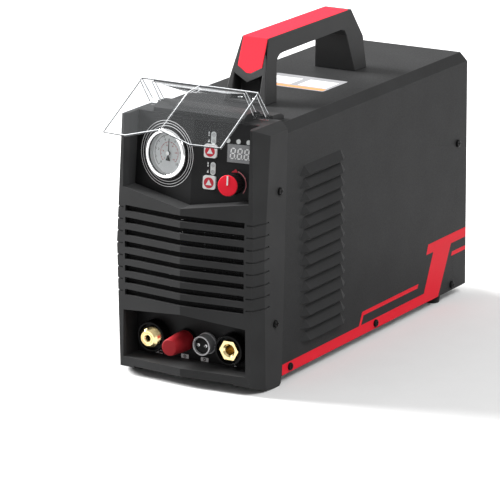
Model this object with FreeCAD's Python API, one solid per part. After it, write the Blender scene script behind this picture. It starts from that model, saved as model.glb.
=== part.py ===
import FreeCAD, Part
import math
import os
from FreeCAD import Rotation, Vector

# Portable inverter plasma cutter: sheet-steel cover, moulded front bezel with a flip-up clear
# visor, V-shaped control panel, connector recess, top handle, rear fan and internal power stage.
# Frame: millimetres, +Z up, front towards -Y, +X to the right seen from the front.
# Origin: centre of the footprint box, on the floor plane that the feet stand on.

# ---------------------------------------------------------------- driving dimensions
COVER_WIDTH = 150.0
COVER_BOTTOM = 8.0
COVER_TOP = 235.8
COVER_REAR = 203.0
CHAMFER = 7.9
SHEET = 1.2

SEAM_BOTTOM_Y = -142.8
SEAM_TOP_Y = -130.5
SEAM_SPAN_Z = 220.0

BEZEL_TOP = 239.0
BEZEL_BOTTOM = 9.5
BEZEL_WALL = 3.0
# front bezel plan at three heights: z, corner x, corner y, facet y, ridge y
BEZEL_BOW = (
    (BEZEL_BOTTOM, 67.6, -187.0, -170.2, -193.5),
    (123.0, 71.2, -184.0, -171.3, -191.6),
    (BEZEL_TOP, 67.6, -177.8, -158.8, -186.8),
)

SLOT_COUNT = 8
SLOT_PITCH = 11.0
SLOT_TOP = 157.0
SLOT_HEIGHT = 5.4
SLOT_HALF = 62.2
SLOT_RIB_X = 23.0
SLOT_RIB_Y = -182.6

RECESS_HALF = 63.0
RECESS_LIP = 2.5
RECESS_SIDE_Z = 173.0
RECESS_MID_Z = 163.0
# inner edge of the side chamfers (z, y), and their width over their depth
RECESS_CHAMFER_EDGE = ((RECESS_SIDE_Z, -176.3), (BEZEL_TOP + 1.0, -173.0))
RECESS_CHAMFER_SLOPE = 0.44
PANEL_RIDGE_Y = -169.0
PANEL_MID_Z = 206.0
PANEL_YAW = 6.67
PANEL_TILT = 6.5
PANEL_THICK = 2.6

PORT_BOTTOM_Z = 17.0
PORT_SIDE_Z = 60.5
PORT_MID_Z = 66.5
PORT_FACE_Y = -165.0
PORT_CHAMFER_EDGE = ((PORT_BOTTOM_Z, -184.2), (PORT_SIDE_Z, -184.2))
PORT_AXIS_Z = 35.2
COLLAR_R = 14.3
COLLAR_CUP_R = 12.2
COLLAR_CUP_DEPTH = 5.0
TORCH_X = -42.0
TORCH_FRONT_Y = -181.0
TORCH_NOSE_R = 9.5
TORCH_COLLAR_Y = -176.0
POST_X = -10.0
POST_TIP_Y = -195.5
PILOT_PLUG_X = 11.8
PILOT_INSERT_R = 7.6
GROUND_X = 40.4
GROUND_COLLAR_Y = -177.0
GROUND_FRONT_Y = -176.0
GROUND_BORE_R = 4.55
GROUND_BORE_DEPTH = 24.0

GAUGE_X = -28.4
GAUGE_Z = 204.5
GAUGE_R = 22.4
GAUGE_RING_Y = -3.8
GAUGE_LENS_Y = -2.4
DIAL_Y = 3.2
BUTTON_X = 17.8
BUTTON_ZS = (212.7, 184.9)
BUTTON_SIZE = 12.0
BUTTON_TRAVEL = 1.0
BUTTON_BACK = 6.4
DISPLAY_X = 44.6
DISPLAY_Z = 212.6
DISPLAY_SIZE = (22.4, 16.4)
CAPSULES = ((19.9, 224.3), (20.4, 197.3))
CAPSULE_SIZE = (4.9, 11.4)
DOTS = ((33.9, 223.3), (43.9, 223.3), (53.5, 223.3))
DOT_R = 2.1
KNOB_X = 41.0
KNOB_Z = 185.8
KNOB_R = 9.5
KNOB_FACE = -12.4

VISOR_HINGE_Y = -141.0
VISOR_HINGE_Z = 243.4
VISOR_HALF = 61.0
VISOR_THICK = 2.6
VISOR_OPEN_DEG = 50.0
VISOR_ARM_INNER = 47.4
VISOR_PEG_R = 1.5
VISOR_PEG_LENGTH = 8.0
FIT = 0.05

GAUGE_HOSE_TOP = (-24.0, -129.5, 190.0)
HOSE_BORE = 2.6
HOSE_SMALL_BORE = 1.2
TEE_Y = (-129.0, -113.0)
TEE_BRANCH_Y = -121.0
TEE_RISE = 16.0

LOUVRE_COUNT = 14
LOUVRE_PITCH = 11.83
LOUVRE_TOP = 193.5
LOUVRE_DROP = 8.6
LOUVRE_OUT = 5.0
LOUVRE_MID_Y = -70.5
LOUVRE_LIP_HALF = 29.5
LOUVRE_ROOT_HALF = 40.5

HANDLE_TOP = 293.0
HANDLE_SCREW_XS = (-8.0, 8.0)
HANDLE_SCREW_YS = (-74.0, 91.0)
HANDLE_TOP_HALF = 14.0
HANDLE_BASE_HALF = 22.0
INLAY_HALF = 12.8
HANDLE_FOOT = 3.0
POCKET_HALF = 14.5

# outer side outline of the handle (y, z)
HANDLE_SIDE = (
    (-81.5, COVER_TOP),
    (-74.5, 260.0),
    (-61.0, HANDLE_TOP),
    (87.4, HANDLE_TOP),
    (103.0, 265.4),
    (102.3, COVER_TOP),
)

FAN_Z = 163.0
FAN_SIZE = 120.0
FAN_DEPTH = 25.0
REAR_PANEL_Y = 198.0

FAN_PITCH = 105.0
FAN_FRONT_Y = 172.8
REAR_PANEL_THICK = 2.0
GUARD_THICK = 1.6
ROCKER_PIVOT_Y = REAR_PANEL_Y + 2.0
ROCKER_TILT = 11.0
INLET_BORE_R = 4.05
INLET_BORE_DEPTH = 16.0
INLET_END_Y = 226.317
VALVE_Y = (146.0, 172.0)
SWITCH_X = -45.0
SWITCH_Z = 60.0
GLAND_X = 0.0
GLAND_Z = 48.0
INLET_X = 45.0
INLET_Z = 62.0
EARTH_X = 45.0
EARTH_Z = 30.0

BOARD_Z = 128.0
BOARD_THICK = 1.6
BOARD_HALF = 62.0
TRANSFORMER_AT = (0.0, -40.0, BOARD_Z + BOARD_THICK + 36.0)
SINK_Y = (-60.0, 118.0)
SINK_TOP = 121.5
SINK_LOW = 66.0
BOARD_Y = (-108.0, 150.0)
POST_POINTS = ((-56.0, -88.0), (56.0, -88.0), (-56.0, 136.0), (56.0, 136.0))

FOOT_POINTS = ((-65.0, 155.0), (65.0, 155.0))

SCREW_HOLE_R = 2.1

FLOOR_Z = 8.0
FLOOR_THICK = 1.5

HALF = COVER_WIDTH / 2.0


# ---------------------------------------------------------------- helpers
def box(x, y, z):
    """Box from (low, high) pairs along each axis."""
    corner = Vector(x[0], y[0], z[0])
    return Part.makeBox(x[1] - x[0], y[1] - y[0], z[1] - z[0], corner)


def centred_box(at, size):
    """Box by its centre and size."""
    low = [a - s / 2.0 for a, s in zip(at, size)]
    return Part.makeBox(size[0], size[1], size[2], Vector(*low))


def rod(at, axis, radius, length):
    """Cylinder starting at a point and running along an axis."""
    return Part.makeCylinder(radius, length, Vector(*at), Vector(*axis))


def ring(at, axis, outer, inner, length):
    """Tube starting at a point and running along an axis."""
    core = Vector(*at) - Vector(*axis)
    bore = Part.makeCylinder(inner, length + 2.0, core, Vector(*axis))
    return rod(at, axis, outer, length).cut(bore)


def fused(shapes):
    """One solid from shapes that overlap or touch."""
    shapes = list(shapes)
    if len(shapes) == 1:
        return shapes[0]
    return shapes[0].multiFuse(shapes[1:]).removeSplitter()


def cut_all(shape, tools):
    """Shape with every tool removed."""
    tools = list(tools)
    return shape.cut(Part.makeCompound(tools)) if tools else shape


def prism(points, shift):
    """Closed outline of 3-D points swept along a vector."""
    corners = [Vector(*p) for p in points]
    wire = Part.makePolygon(corners + corners[:1])
    return Part.Face(wire).extrude(Vector(*shift))


def prism_x(points, low, high):
    """Outline of (y, z) points swept along X."""
    return prism([(low, y, z) for y, z in points], (high - low, 0, 0))


def prism_y(points, low, high):
    """Outline of (x, z) points swept along Y."""
    return prism([(x, low, z) for x, z in points], (0, high - low, 0))


def prism_z(points, low, high):
    """Outline of (x, y) points swept along Z."""
    return prism([(x, y, low) for x, y in points], (0, 0, high - low))


def solid_from_faces(loops):
    """Polyhedron from its corner loops."""
    faces = []
    for loop in loops:
        corners = [Vector(*p) for p in loop]
        faces.append(Part.Face(Part.makePolygon(corners + corners[:1])))
    solid = Part.makeSolid(Part.makeShell(faces))
    if solid.Volume < 0:
        solid.reverse()
    return solid


def loft_z(sections):
    """Ruled solid through closed (x, y) outlines at rising heights."""
    wires = []
    for z, points in sections:
        corners = [Vector(x, y, z) for x, y in points]
        wires.append(Part.makePolygon(corners + corners[:1]))
    return Part.makeLoft(wires, True, True)


def mirrored(shape):
    """Copy on the other side of the centre plane."""
    return shape.mirror(Vector(0, 0, 0), Vector(1, 0, 0))


def both_sides(shape):
    """The shape and its mirror image."""
    return [shape, mirrored(shape)]


def polar(count, radius, start=0.0):
    """Points evenly spaced round a circle."""
    turn = 2.0 * math.pi / count
    for k in range(count):
        angle = math.radians(start) + turn * k
        yield radius * math.cos(angle), radius * math.sin(angle)


def hexagon_z(at, across, height):
    """Upright hexagonal prism by its width across flats."""
    points = [(at[0] + x, at[1] + y) for x, y in polar(6, across / math.sqrt(3.0))]
    return prism_z(points, at[2], at[2] + height)


def seam_y(z):
    """Y of the joint line between the bezel and the cover at a height."""
    lean = (SEAM_TOP_Y - SEAM_BOTTOM_Y) / SEAM_SPAN_Z
    return SEAM_BOTTOM_Y + lean * (z - COVER_BOTTOM)


def panel_place(shape, side):
    """Moves a shape from the panel's local frame to the right (+1) or left (-1) panel half.

    Locally x runs along the panel from its ridge, -y is outwards and z is up the panel."""
    placed = shape.copy()
    placed.rotate(Vector(0, 0, 0), Vector(1, 0, 0), -PANEL_TILT)
    placed.rotate(Vector(0, 0, 0), Vector(0, 0, 1), side * PANEL_YAW)
    placed.translate(Vector(0, PANEL_RIDGE_Y, PANEL_MID_Z))
    return placed


def panel_local(x, z):
    """Local panel coordinates of a point given by its x and height."""
    along = x / math.cos(math.radians(PANEL_YAW))
    up = (z - PANEL_MID_Z) / math.cos(math.radians(PANEL_TILT))
    return along, up


def cross_cuts(reach, width, depth):
    """Tools that cut a cross recess into a face at the origin, along +Z into the shape."""
    slot = centred_box((0, 0, depth / 2.0), (reach, width, depth + 0.02))
    return [slot, centred_box((0, 0, depth / 2.0), (width, reach, depth + 0.02))]


def pan_screw(at, out, head_r=3.6, head_h=2.0, shank_r=1.9, length=7.0):
    """Cross-recessed pan-head screw whose head seats at a point and faces outwards."""
    head = Part.makeCylinder(head_r, head_h)
    top = [e for e in head.Edges if e.BoundBox.ZMin > head_h - 0.01 and len(e.Vertexes) == 1]
    head = head.makeFillet(head_h * 0.55, top)
    tools = cross_cuts(head_r * 1.25, 0.9, head_h * 0.6)
    for tool in tools:
        tool.translate(Vector(0, 0, head_h * 0.4))
    head = cut_all(head, tools)
    screw = fused([head, rod((0, 0, -length), (0, 0, 1), shank_r, length + 0.2)])
    screw.Placement = FreeCAD.Placement(Vector(*at), Rotation(Vector(0, 0, 1), Vector(*out)))
    return screw


# ---------------------------------------------------------------- outer shells
def cover_profile(inset, bottom):
    """Cover section in X and Z, moved inwards by an inset."""
    half = HALF - inset
    top = COVER_TOP - inset
    cut = CHAMFER - inset * math.tan(math.radians(22.5))
    return [
        (-half, bottom),
        (-half, top - cut),
        (-half + cut, top),
        (half - cut, top),
        (half, top - cut),
        (half, bottom),
    ]


def louvre_wedge(top, drop, out, lip, root, x0):
    """Solid wedge of one louvre hood on the +X side."""
    low = top - drop
    t1 = (x0, LOUVRE_MID_Y - lip - 3.0, top)
    t2 = (x0, LOUVRE_MID_Y + lip + 3.0, top)
    b1 = (x0, LOUVRE_MID_Y - root, low)
    b2 = (x0, LOUVRE_MID_Y + root, low)
    r1 = (x0 + out, LOUVRE_MID_Y - lip, low)
    r2 = (x0 + out, LOUVRE_MID_Y + lip, low)
    loops = [[t1, t2, r2, r1], [t1, r1, b1], [t2, b2, r2], [b1, r1, r2, b2], [t1, b1, b2, t2]]
    return solid_from_faces(loops)


LOUVRE_TOPS = [LOUVRE_TOP - LOUVRE_PITCH * k for k in range(LOUVRE_COUNT)]
COVER_SCREWS = ((-128.4, 13.4), (26.5, 13.4), (174.6, 13.4), (185.1, 151.0))
BEZEL_SCREWS = ((-144.6, 178.7), (-153.2, 59.5))


def outer_cover():
    """Wrap-round sheet cover with louvred sides, open at the front, rear and floor."""
    outer = prism_y(cover_profile(0.0, COVER_BOTTOM), -150.0, COVER_REAR)
    inner = prism_y(cover_profile(SHEET, COVER_BOTTOM - 5.0), -152.0, COVER_REAR + 5.0)
    shell = outer.cut(inner)
    seam = [
        (-160.0, 0.0),
        (seam_y(0.0), 0.0),
        (seam_y(250.0), 250.0),
        (-160.0, 250.0),
    ]
    shell = shell.cut(prism_x(seam, -90.0, 90.0))
    windows = []
    hoods = []
    for top in LOUVRE_TOPS:
        low = top - LOUVRE_DROP
        lip = (LOUVRE_MID_Y - LOUVRE_LIP_HALF + 1.0, LOUVRE_MID_Y + LOUVRE_LIP_HALF - 1.0)
        windows.append(box((HALF - 3.0, HALF + 2.0), lip, (low, top - 2.2)))
        hood = louvre_wedge(top, LOUVRE_DROP, LOUVRE_OUT, LOUVRE_LIP_HALF, LOUVRE_ROOT_HALF, HALF - 0.1)
        core = louvre_wedge(
            top - 2.0,
            LOUVRE_DROP - 2.0 + 0.4,
            LOUVRE_OUT - SHEET,
            LOUVRE_LIP_HALF - 1.0,
            LOUVRE_ROOT_HALF - 4.0,
            HALF - 0.2,
        )
        hoods.append(hood.cut(core))
    tools = []
    for window in windows:
        tools += both_sides(window)
    for y, z in COVER_SCREWS:
        tools += both_sides(rod((HALF - 4.0, y, z), (1, 0, 0), 2.1, 8.0))
    for x in HANDLE_SCREW_XS:
        for y in HANDLE_SCREW_YS:
            tools.append(rod((x, y, COVER_TOP - 4.0), (0, 0, 1), SCREW_HOLE_R, 8.0))
    shell = cut_all(shell, tools)
    parts = [shell]
    for hood in hoods:
        parts += both_sides(hood)
    return fused(parts)


def base_chassis():
    """Folded floor tray with side flanges and a row of cooling slots."""
    half = HALF - SHEET
    floor = box((-half, half), (-131.0, 197.0), (FLOOR_Z, FLOOR_Z + FLOOR_THICK))
    flange = box((half - FLOOR_THICK, half), (-131.0, 197.0), (FLOOR_Z, FLOOR_Z + 20.0))
    tray = fused([floor] + both_sides(flange))
    tools = []
    for k in range(6):
        y = -20.0 + 14.0 * k
        tools.append(box((-30.0, 30.0), (y, y + 5.0), (FLOOR_Z - 1.0, FLOOR_Z + 3.0)))
    for y, z in COVER_SCREWS[:3]:
        tools += both_sides(rod((HALF - 6.0, y, z), (1, 0, 0), 1.95, 8.0))
    for x, y in FOOT_POINTS:
        tools.append(rod((x, y, FLOOR_Z - 1.0), (0, 0, 1), SCREW_HOLE_R, 4.0))
    return cut_all(tray, tools)


def bezel_outline(row, inset):
    """Bezel plan at one height, moved inwards by an inset, open behind the seam."""
    z, corner_x, corner_y, facet_y, ridge_y = row
    back = seam_y(z) + (2.0 if inset else 0.0)
    half = HALF - inset
    corner_x = corner_x - inset * 0.75
    right = [(half, back), (half, facet_y + inset * 0.2), (corner_x, corner_y + inset)]
    left = [(-x, y) for x, y in reversed(right)]
    return right + [(0.0, ridge_y + inset)] + left


def bezel_block(inset):
    """Solid inside the bezel's outer face, moved inwards by an inset."""
    rows = []
    for row in BEZEL_BOW:
        z = row[0]
        if inset and row is BEZEL_BOW[0]:
            z += inset
        if inset and row is BEZEL_BOW[-1]:
            z -= inset
        rows.append((z, bezel_outline(row, inset)))
    block = fused([loft_z(rows[:2]), loft_z(rows[1:])])
    half = HALF - inset
    top = BEZEL_TOP - inset
    cut = 7.2
    gable = [
        (-half, BEZEL_BOTTOM - 1.0),
        (-half, top - cut),
        (-half + cut, top),
        (half - cut, top),
        (half, top - cut),
        (half, BEZEL_BOTTOM - 1.0),
    ]
    return block.common(prism_y(gable, -210.0, -110.0))


def vee_prism(side_z, mid_z, low, y, half):
    """Block with a flat floor at low and a V or inverted-V top, swept along Y.

    side_z is the top's height at the recess's sides; the slope runs on to the block's own sides."""
    edge_z = mid_z + (side_z - mid_z) * half / RECESS_HALF
    points = [(-half, low), (-half, edge_z), (0.0, mid_z), (half, edge_z), (half, low)]
    return prism_y(points, y[0], y[1])


def upper_recess():
    """Opening for the control panel, open at the front and at the top."""
    y_front = -215.0
    slope = math.tan(math.radians(PANEL_TILT))
    back_low = PANEL_RIDGE_Y + PANEL_THICK - (PANEL_MID_Z - RECESS_MID_Z) * slope
    back_top = PANEL_RIDGE_Y + PANEL_THICK + (BEZEL_TOP + 2.0 - PANEL_MID_Z) * slope + 7.5
    outline = [
        (-RECESS_HALF, RECESS_SIDE_Z),
        (0.0, RECESS_MID_Z),
        (RECESS_HALF, RECESS_SIDE_Z),
        (RECESS_HALF, BEZEL_TOP + 5.0),
        (-RECESS_HALF, BEZEL_TOP + 5.0),
    ]
    opening = prism_y(outline, y_front, back_top)
    behind = [
        (back_low + 7.5, RECESS_MID_Z - 8.0),
        (back_top, BEZEL_TOP + 6.0),
        (back_top + 40.0, BEZEL_TOP + 6.0),
        (back_top + 40.0, RECESS_MID_Z - 8.0),
    ]
    return opening.cut(prism_x(behind, -RECESS_HALF - 1.0, RECESS_HALF + 1.0))


def recess_walls():
    """Cheeks, floor and sill lips that line both front recesses."""
    inner = RECESS_HALF
    outer = RECESS_HALF + RECESS_LIP
    cheek = box((inner, outer), (-200.0, -152.0), (PORT_MID_Z + 90.0, BEZEL_TOP))
    upper_floor = vee_prism(RECESS_SIDE_Z, RECESS_MID_Z, RECESS_MID_Z - 14.0, (-200.0, -158.0), outer)
    under = vee_prism(
        RECESS_SIDE_Z - RECESS_LIP, RECESS_MID_Z - RECESS_LIP, RECESS_MID_Z - 15.0, (-201.0, -157.0), outer + 1.0
    )
    port_cheek = box((inner, outer), (-200.0, PORT_FACE_Y), (PORT_BOTTOM_Z - RECESS_LIP, PORT_MID_Z + 2.0))
    port_floor = box((-outer, outer), (-200.0, PORT_FACE_Y), (PORT_BOTTOM_Z - RECESS_LIP, PORT_BOTTOM_Z))
    roof_out = vee_prism(
        PORT_SIDE_Z + RECESS_LIP, PORT_MID_Z + RECESS_LIP, PORT_BOTTOM_Z, (-200.0, PORT_FACE_Y), outer
    )
    roof_in = vee_prism(PORT_SIDE_Z, PORT_MID_Z, PORT_BOTTOM_Z - 5.0, (-201.0, PORT_FACE_Y + 1.0), inner)
    walls = both_sides(cheek) + [upper_floor.cut(under)] + both_sides(port_cheek)
    return walls + [port_floor, roof_out.cut(roof_in)]


def port_recess():
    """Opening for the connector plate."""
    return vee_prism(PORT_SIDE_Z, PORT_MID_Z, PORT_BOTTOM_Z, (-215.0, PORT_FACE_Y), RECESS_HALF)


def side_chamfer(edge):
    """Wedges that ease both side edges of a recess; edge gives the wedge's inner (z, y) points."""
    front = -205.0
    sections = []
    for z, y in edge:
        reach = RECESS_HALF + (y - front) * RECESS_CHAMFER_SLOPE
        sections.append((z, [(RECESS_HALF - 0.5, y), (RECESS_HALF, y), (reach, front), (RECESS_HALF - 0.5, front)]))
    return both_sides(loft_z(sections))


def vent_slots():
    """Horizontal slots through the bezel's front wall."""
    tools = []
    for k in range(SLOT_COUNT):
        top = SLOT_TOP - SLOT_PITCH * k
        tools.append(box((-SLOT_HALF, SLOT_HALF), (-215.0, -172.0), (top - SLOT_HEIGHT, top)))
    return tools


def corner_grooves():
    """Fine grooves that carry each slot's line round the bezel's corners."""
    outer = bezel_block(0.0)
    rim = outer.cut(bezel_block(0.8))
    bands = []
    for k in range(SLOT_COUNT):
        top = SLOT_TOP - SLOT_PITCH * k - 1.6
        band = box((SLOT_HALF + 2.0, HALF + 1.0), (-215.0, -163.0), (top - 1.4, top))
        bands += both_sides(band)
    return [rim.common(band) for band in bands]


def slot_ribs():
    """Upright bars that stand behind the slots and stiffen the front wall."""
    bars = []
    for x in (-SLOT_RIB_X, SLOT_RIB_X):
        low = SLOT_TOP - SLOT_PITCH * (SLOT_COUNT - 1) - SLOT_HEIGHT - 6.0
        high = SLOT_TOP + 4.0
        bars.append(box((x - 1.0, x + 1.0), (SLOT_RIB_Y, SLOT_RIB_Y + 7.0), (low, high)))
        bars.append(box((x - 1.0, x + 1.0), (-193.0, SLOT_RIB_Y + 7.0), (low - 2.0, low)))
        bars.append(box((x - 1.0, x + 1.0), (-193.0, SLOT_RIB_Y + 7.0), (high, high + 2.0)))
    return bars


def bezel_feet():
    """Two front corner feet with a rounded-up toe."""
    toe = [
        (seam_y(0.0) + 0.6, BEZEL_BOTTOM + 1.5),
        (seam_y(0.0) - 1.0, 2.0),
        (seam_y(0.0) - 4.0, 0.0),
        (-155.0, 0.0),
        (-176.0, 3.6),
        (-188.0, 8.2),
        (-191.0, BEZEL_BOTTOM + 1.5),
    ]
    block = prism_x(toe, 52.0, HALF)
    sections = [(-1.0, bezel_outline(BEZEL_BOW[0], 0.0)), (12.0, bezel_outline(BEZEL_BOW[0], 0.0))]
    block = block.common(loft_z(sections))
    return both_sides(block)


def front_bezel():
    """Moulded front: bowed V-shaped face, vent slots, two lined recesses and front feet."""
    outer = bezel_block(0.0)
    shell = outer.cut(bezel_block(BEZEL_WALL))
    lined = [wall.common(outer) for wall in recess_walls()]
    lip_out = prism_y(cover_profile(SHEET + 0.2, FLOOR_Z + 22.0), -150.0, -124.0)
    lip_in = prism_y(cover_profile(SHEET + 2.2, FLOOR_Z + 15.0), -152.0, -120.0)
    lip = lip_out.cut(lip_in)
    behind = [
        (seam_y(0.0) + 8.0, 0.0),
        (seam_y(250.0) + 8.0, 250.0),
        (-100.0, 250.0),
        (-100.0, 0.0),
    ]
    ahead = [
        (seam_y(0.0) - 4.0, 0.0),
        (seam_y(250.0) - 4.0, 250.0),
        (-180.0, 250.0),
        (-180.0, 0.0),
    ]
    lip = cut_all(lip, [prism_x(behind, -90.0, 90.0), prism_x(ahead, -90.0, 90.0)])
    body = fused([shell, lip] + lined + bezel_feet())
    tools = [upper_recess(), port_recess()] + vent_slots() + corner_grooves()
    tools += side_chamfer(RECESS_CHAMFER_EDGE) + side_chamfer(PORT_CHAMFER_EDGE)
    for y, z in BEZEL_SCREWS:
        tools += both_sides(rod((HALF - 8.0, y, z), (1, 0, 0), 2.1, 12.0))
    body = cut_all(body, tools)
    return fused([body] + [rib.common(outer) for rib in slot_ribs()])


def hinge_block():
    """Moulded block on the bezel's top with sockets for the visor pegs and a slotted rear ledge."""
    half = VISOR_ARM_INNER - 0.4
    outline = [
        (-158.0, BEZEL_TOP),
        (-158.0, 243.0),
        (-152.0, 246.2),
        (-136.0, 246.2),
        (-131.0, 243.6),
        (-131.0, BEZEL_TOP),
    ]
    block = prism_x(outline, -half, half)
    ledge_outline = [
        (-129.2, COVER_TOP),
        (-129.2, BEZEL_TOP),
        (-131.0, BEZEL_TOP),
        (-131.0, 242.2),
        (-117.5, 241.6),
        (-112.0, 238.6),
        (-112.0, COVER_TOP),
    ]
    ledge = prism_x(ledge_outline, -60.0, 60.0)
    slot = box((-38.0, 6.0), (-123.5, -120.5), (COVER_TOP + 3.0, 250.0))
    start = half - VISOR_PEG_LENGTH
    socket = rod((start, VISOR_HINGE_Y, VISOR_HINGE_Z), (1, 0, 0), VISOR_PEG_R + FIT, VISOR_PEG_LENGTH + 1.0)
    return cut_all(fused([block, ledge]), both_sides(socket) + [slot])


def front_frame():
    """Inner steel frame that the bezel, the connector plate and the chassis screw to."""
    side = 71.4
    face = box((-side, side), (-151.0, -149.5), (13.0, 229.0))
    openings = [
        box((-58.0, 58.0), (-153.0, -148.0), (70.0, 160.0)),
        box((-58.0, 58.0), (-153.0, -148.0), (172.0, 226.0)),
        box((-60.0, 60.0), (-153.0, -148.0), (17.0, 62.0)),
    ]
    face = cut_all(face, openings)
    flange = box((side - 1.5, side), (-156.0, -136.0), (13.0, 222.0))
    shelf = box((50.0, side), (-151.0, -131.0), (13.0, 14.5))
    riser = box((50.0, side), (-132.5, -131.0), (FLOOR_Z + FLOOR_THICK, 14.5))
    foot = box((50.0, side), (-132.5, -118.0), (FLOOR_Z + FLOOR_THICK, FLOOR_Z + 2.0 * FLOOR_THICK))
    side_parts = []
    for piece in (flange, shelf, riser, foot):
        side_parts += both_sides(piece)
    frame = fused([face] + side_parts)
    tools = []
    for y, z in BEZEL_SCREWS:
        tools += both_sides(rod((HALF - 8.0, y, z), (1, 0, 0), 1.95, 12.0))
    return cut_all(frame, tools)


def rear_panel():
    """Flat rear plate with the fan opening and cut-outs for switch, gland and inlet."""
    profile = cover_profile(SHEET + 0.2, FLOOR_Z + FLOOR_THICK + 0.1)
    plate = prism_y(profile, REAR_PANEL_Y, REAR_PANEL_Y + 2.0)
    tools = [rod((0, REAR_PANEL_Y - 2.0, FAN_Z), (0, 1, 0), FAN_SIZE / 2.0 - 4.0, 8.0)]
    for x, z in fan_corners():
        tools.append(rod((x, REAR_PANEL_Y - 2.0, z), (0, 1, 0), 2.2, 8.0))
    tools.append(centred_box((SWITCH_X, REAR_PANEL_Y, SWITCH_Z), (22.2, 8.0, 30.2)))
    tools.append(rod((GLAND_X, REAR_PANEL_Y - 2.0, GLAND_Z), (0, 1, 0), 10.05, 8.0))
    tools.append(rod((INLET_X, REAR_PANEL_Y - 2.0, INLET_Z), (0, 1, 0), 6.55, 8.0))
    tools.append(rod((EARTH_X, REAR_PANEL_Y - 2.0, EARTH_Z), (0, 1, 0), 3.05, 8.0))
    plate = cut_all(plate, tools)
    flange = box((HALF - SHEET - 1.5, HALF - SHEET), (184.0, REAR_PANEL_Y), (40.0, 210.0))
    holes = both_sides(rod((HALF - 6.0, 185.1, 151.0), (1, 0, 0), 1.95, 8.0))
    return fused([plate] + both_sides(flange)).cut(Part.makeCompound(holes))


# ---------------------------------------------------------------- visor
def closed_visor_points():
    """Key outer points (y, z) of the visor when it is shut over the panel."""
    return {
        "corner": (-170.6, 247.6),
        "bend_side": (-171.8, 239.4),
        "bend_mid": (-181.4, 231.6),
        "edge_side": (-183.5, 176.0),
        "edge_lobe": (-188.4, 171.8),
        "edge_mid": (-191.7, 180.4),
    }


def visor():
    """Clear flip-up cover: two V-set front plates, a sloped top strip and two pegged hinge arms."""
    p = closed_visor_points()
    half = VISOR_HALF
    lobe = half * 0.55
    back = (0.0, VISOR_THICK, 0.0)
    strip = [
        (0.0,) + p["corner"],
        (half,) + p["corner"],
        (half,) + p["bend_side"],
        (0.0,) + p["bend_mid"],
    ]
    # the strip's four corners lie on a gently warped face, so it is two triangles
    plates = [prism([strip[0], strip[1], strip[3]], back), prism([strip[1], strip[2], strip[3]], back)]
    upper = [(0.0,) + p["bend_mid"], (half,) + p["bend_side"], (half,) + p["edge_side"]]
    lower = [(0.0,) + p["bend_mid"], (half,) + p["edge_side"], (0.0,) + p["edge_mid"]]
    plates.append(prism(upper, back))
    plates.append(prism(lower, back))
    tip = [(0.0,) + p["edge_mid"], (half,) + p["edge_side"], (lobe,) + p["edge_lobe"]]
    plates.append(prism(tip, back))
    arm_top = [
        p["corner"],
        (VISOR_HINGE_Y - 1.0, VISOR_HINGE_Z + 3.2),
        (VISOR_HINGE_Y + 1.5, VISOR_HINGE_Z - 1.0),
        (VISOR_HINGE_Y - 2.0, VISOR_HINGE_Z - 1.6),
        (p["corner"][0] + 3.0, p["corner"][1] - 3.4),
        (p["corner"][0] + 0.4, p["corner"][1] - 3.0),
    ]
    arm = prism_x(arm_top, VISOR_ARM_INNER, half)
    eye = rod((VISOR_ARM_INNER, VISOR_HINGE_Y, VISOR_HINGE_Z), (1, 0, 0), 3.4, half - VISOR_ARM_INNER)
    peg_start = VISOR_ARM_INNER - VISOR_PEG_LENGTH
    peg = rod((peg_start, VISOR_HINGE_Y, VISOR_HINGE_Z), (1, 0, 0), VISOR_PEG_R, VISOR_PEG_LENGTH + 1.0)
    right = fused(plates + [arm, eye, peg])
    shut = fused([right, mirrored(right)])
    pivot = Vector(0, VISOR_HINGE_Y, VISOR_HINGE_Z)
    shut.rotate(pivot, Vector(1, 0, 0), -VISOR_OPEN_DEG)
    return shut


# ---------------------------------------------------------------- handle
def foot_pocket(mouth_y, top_y, bottom_y):
    """Hollow in a handle foot over its screws, with a pointed roof."""
    floor = COVER_TOP + HANDLE_FOOT
    side = [(mouth_y, floor), (mouth_y, 264.0), (top_y, 264.0), (bottom_y, floor)]
    roof = [(-16.0, 261.8), (0.0, 254.0), (16.0, 261.8), (16.0, 266.0), (-16.0, 266.0)]
    return prism_x(side, -POCKET_HALF, POCKET_HALF).cut(prism_y(roof, -100.0, 120.0))


def handle_body():
    """Arched carrying handle with tapered sides, hand gap and screw pockets in the feet."""
    arch = prism_x(HANDLE_SIDE, -30.0, 30.0)
    gap = [
        (-61.0, COVER_TOP - 1.0),
        (-52.5, 269.0),
        (-49.5, 273.6),
        (-45.0, 276.0),
        (-39.0, 276.7),
        (66.0, 277.4),
        (71.0, 275.6),
        (73.6, 270.6),
        (80.8, COVER_TOP - 1.0),
    ]
    opening = prism_x(gap, -30.0, 30.0)
    taper = [
        (-HANDLE_BASE_HALF, COVER_TOP),
        (-HANDLE_TOP_HALF, HANDLE_TOP),
        (HANDLE_TOP_HALF, HANDLE_TOP),
        (HANDLE_BASE_HALF, COVER_TOP),
    ]
    body = arch.cut(opening).common(prism_y(taper, -100.0, 120.0))
    tools = []
    tools.append(foot_pocket(-90.0, -58.5, -64.5))
    tools.append(foot_pocket(110.0, 87.0, 85.0))
    for x in HANDLE_SCREW_XS:
        for y in HANDLE_SCREW_YS:
            tools.append(rod((x, y, COVER_TOP - 1.0), (0, 0, 1), SCREW_HOLE_R, 6.0))
    tools.append(handle_inlay())
    return cut_all(body, tools)


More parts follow.
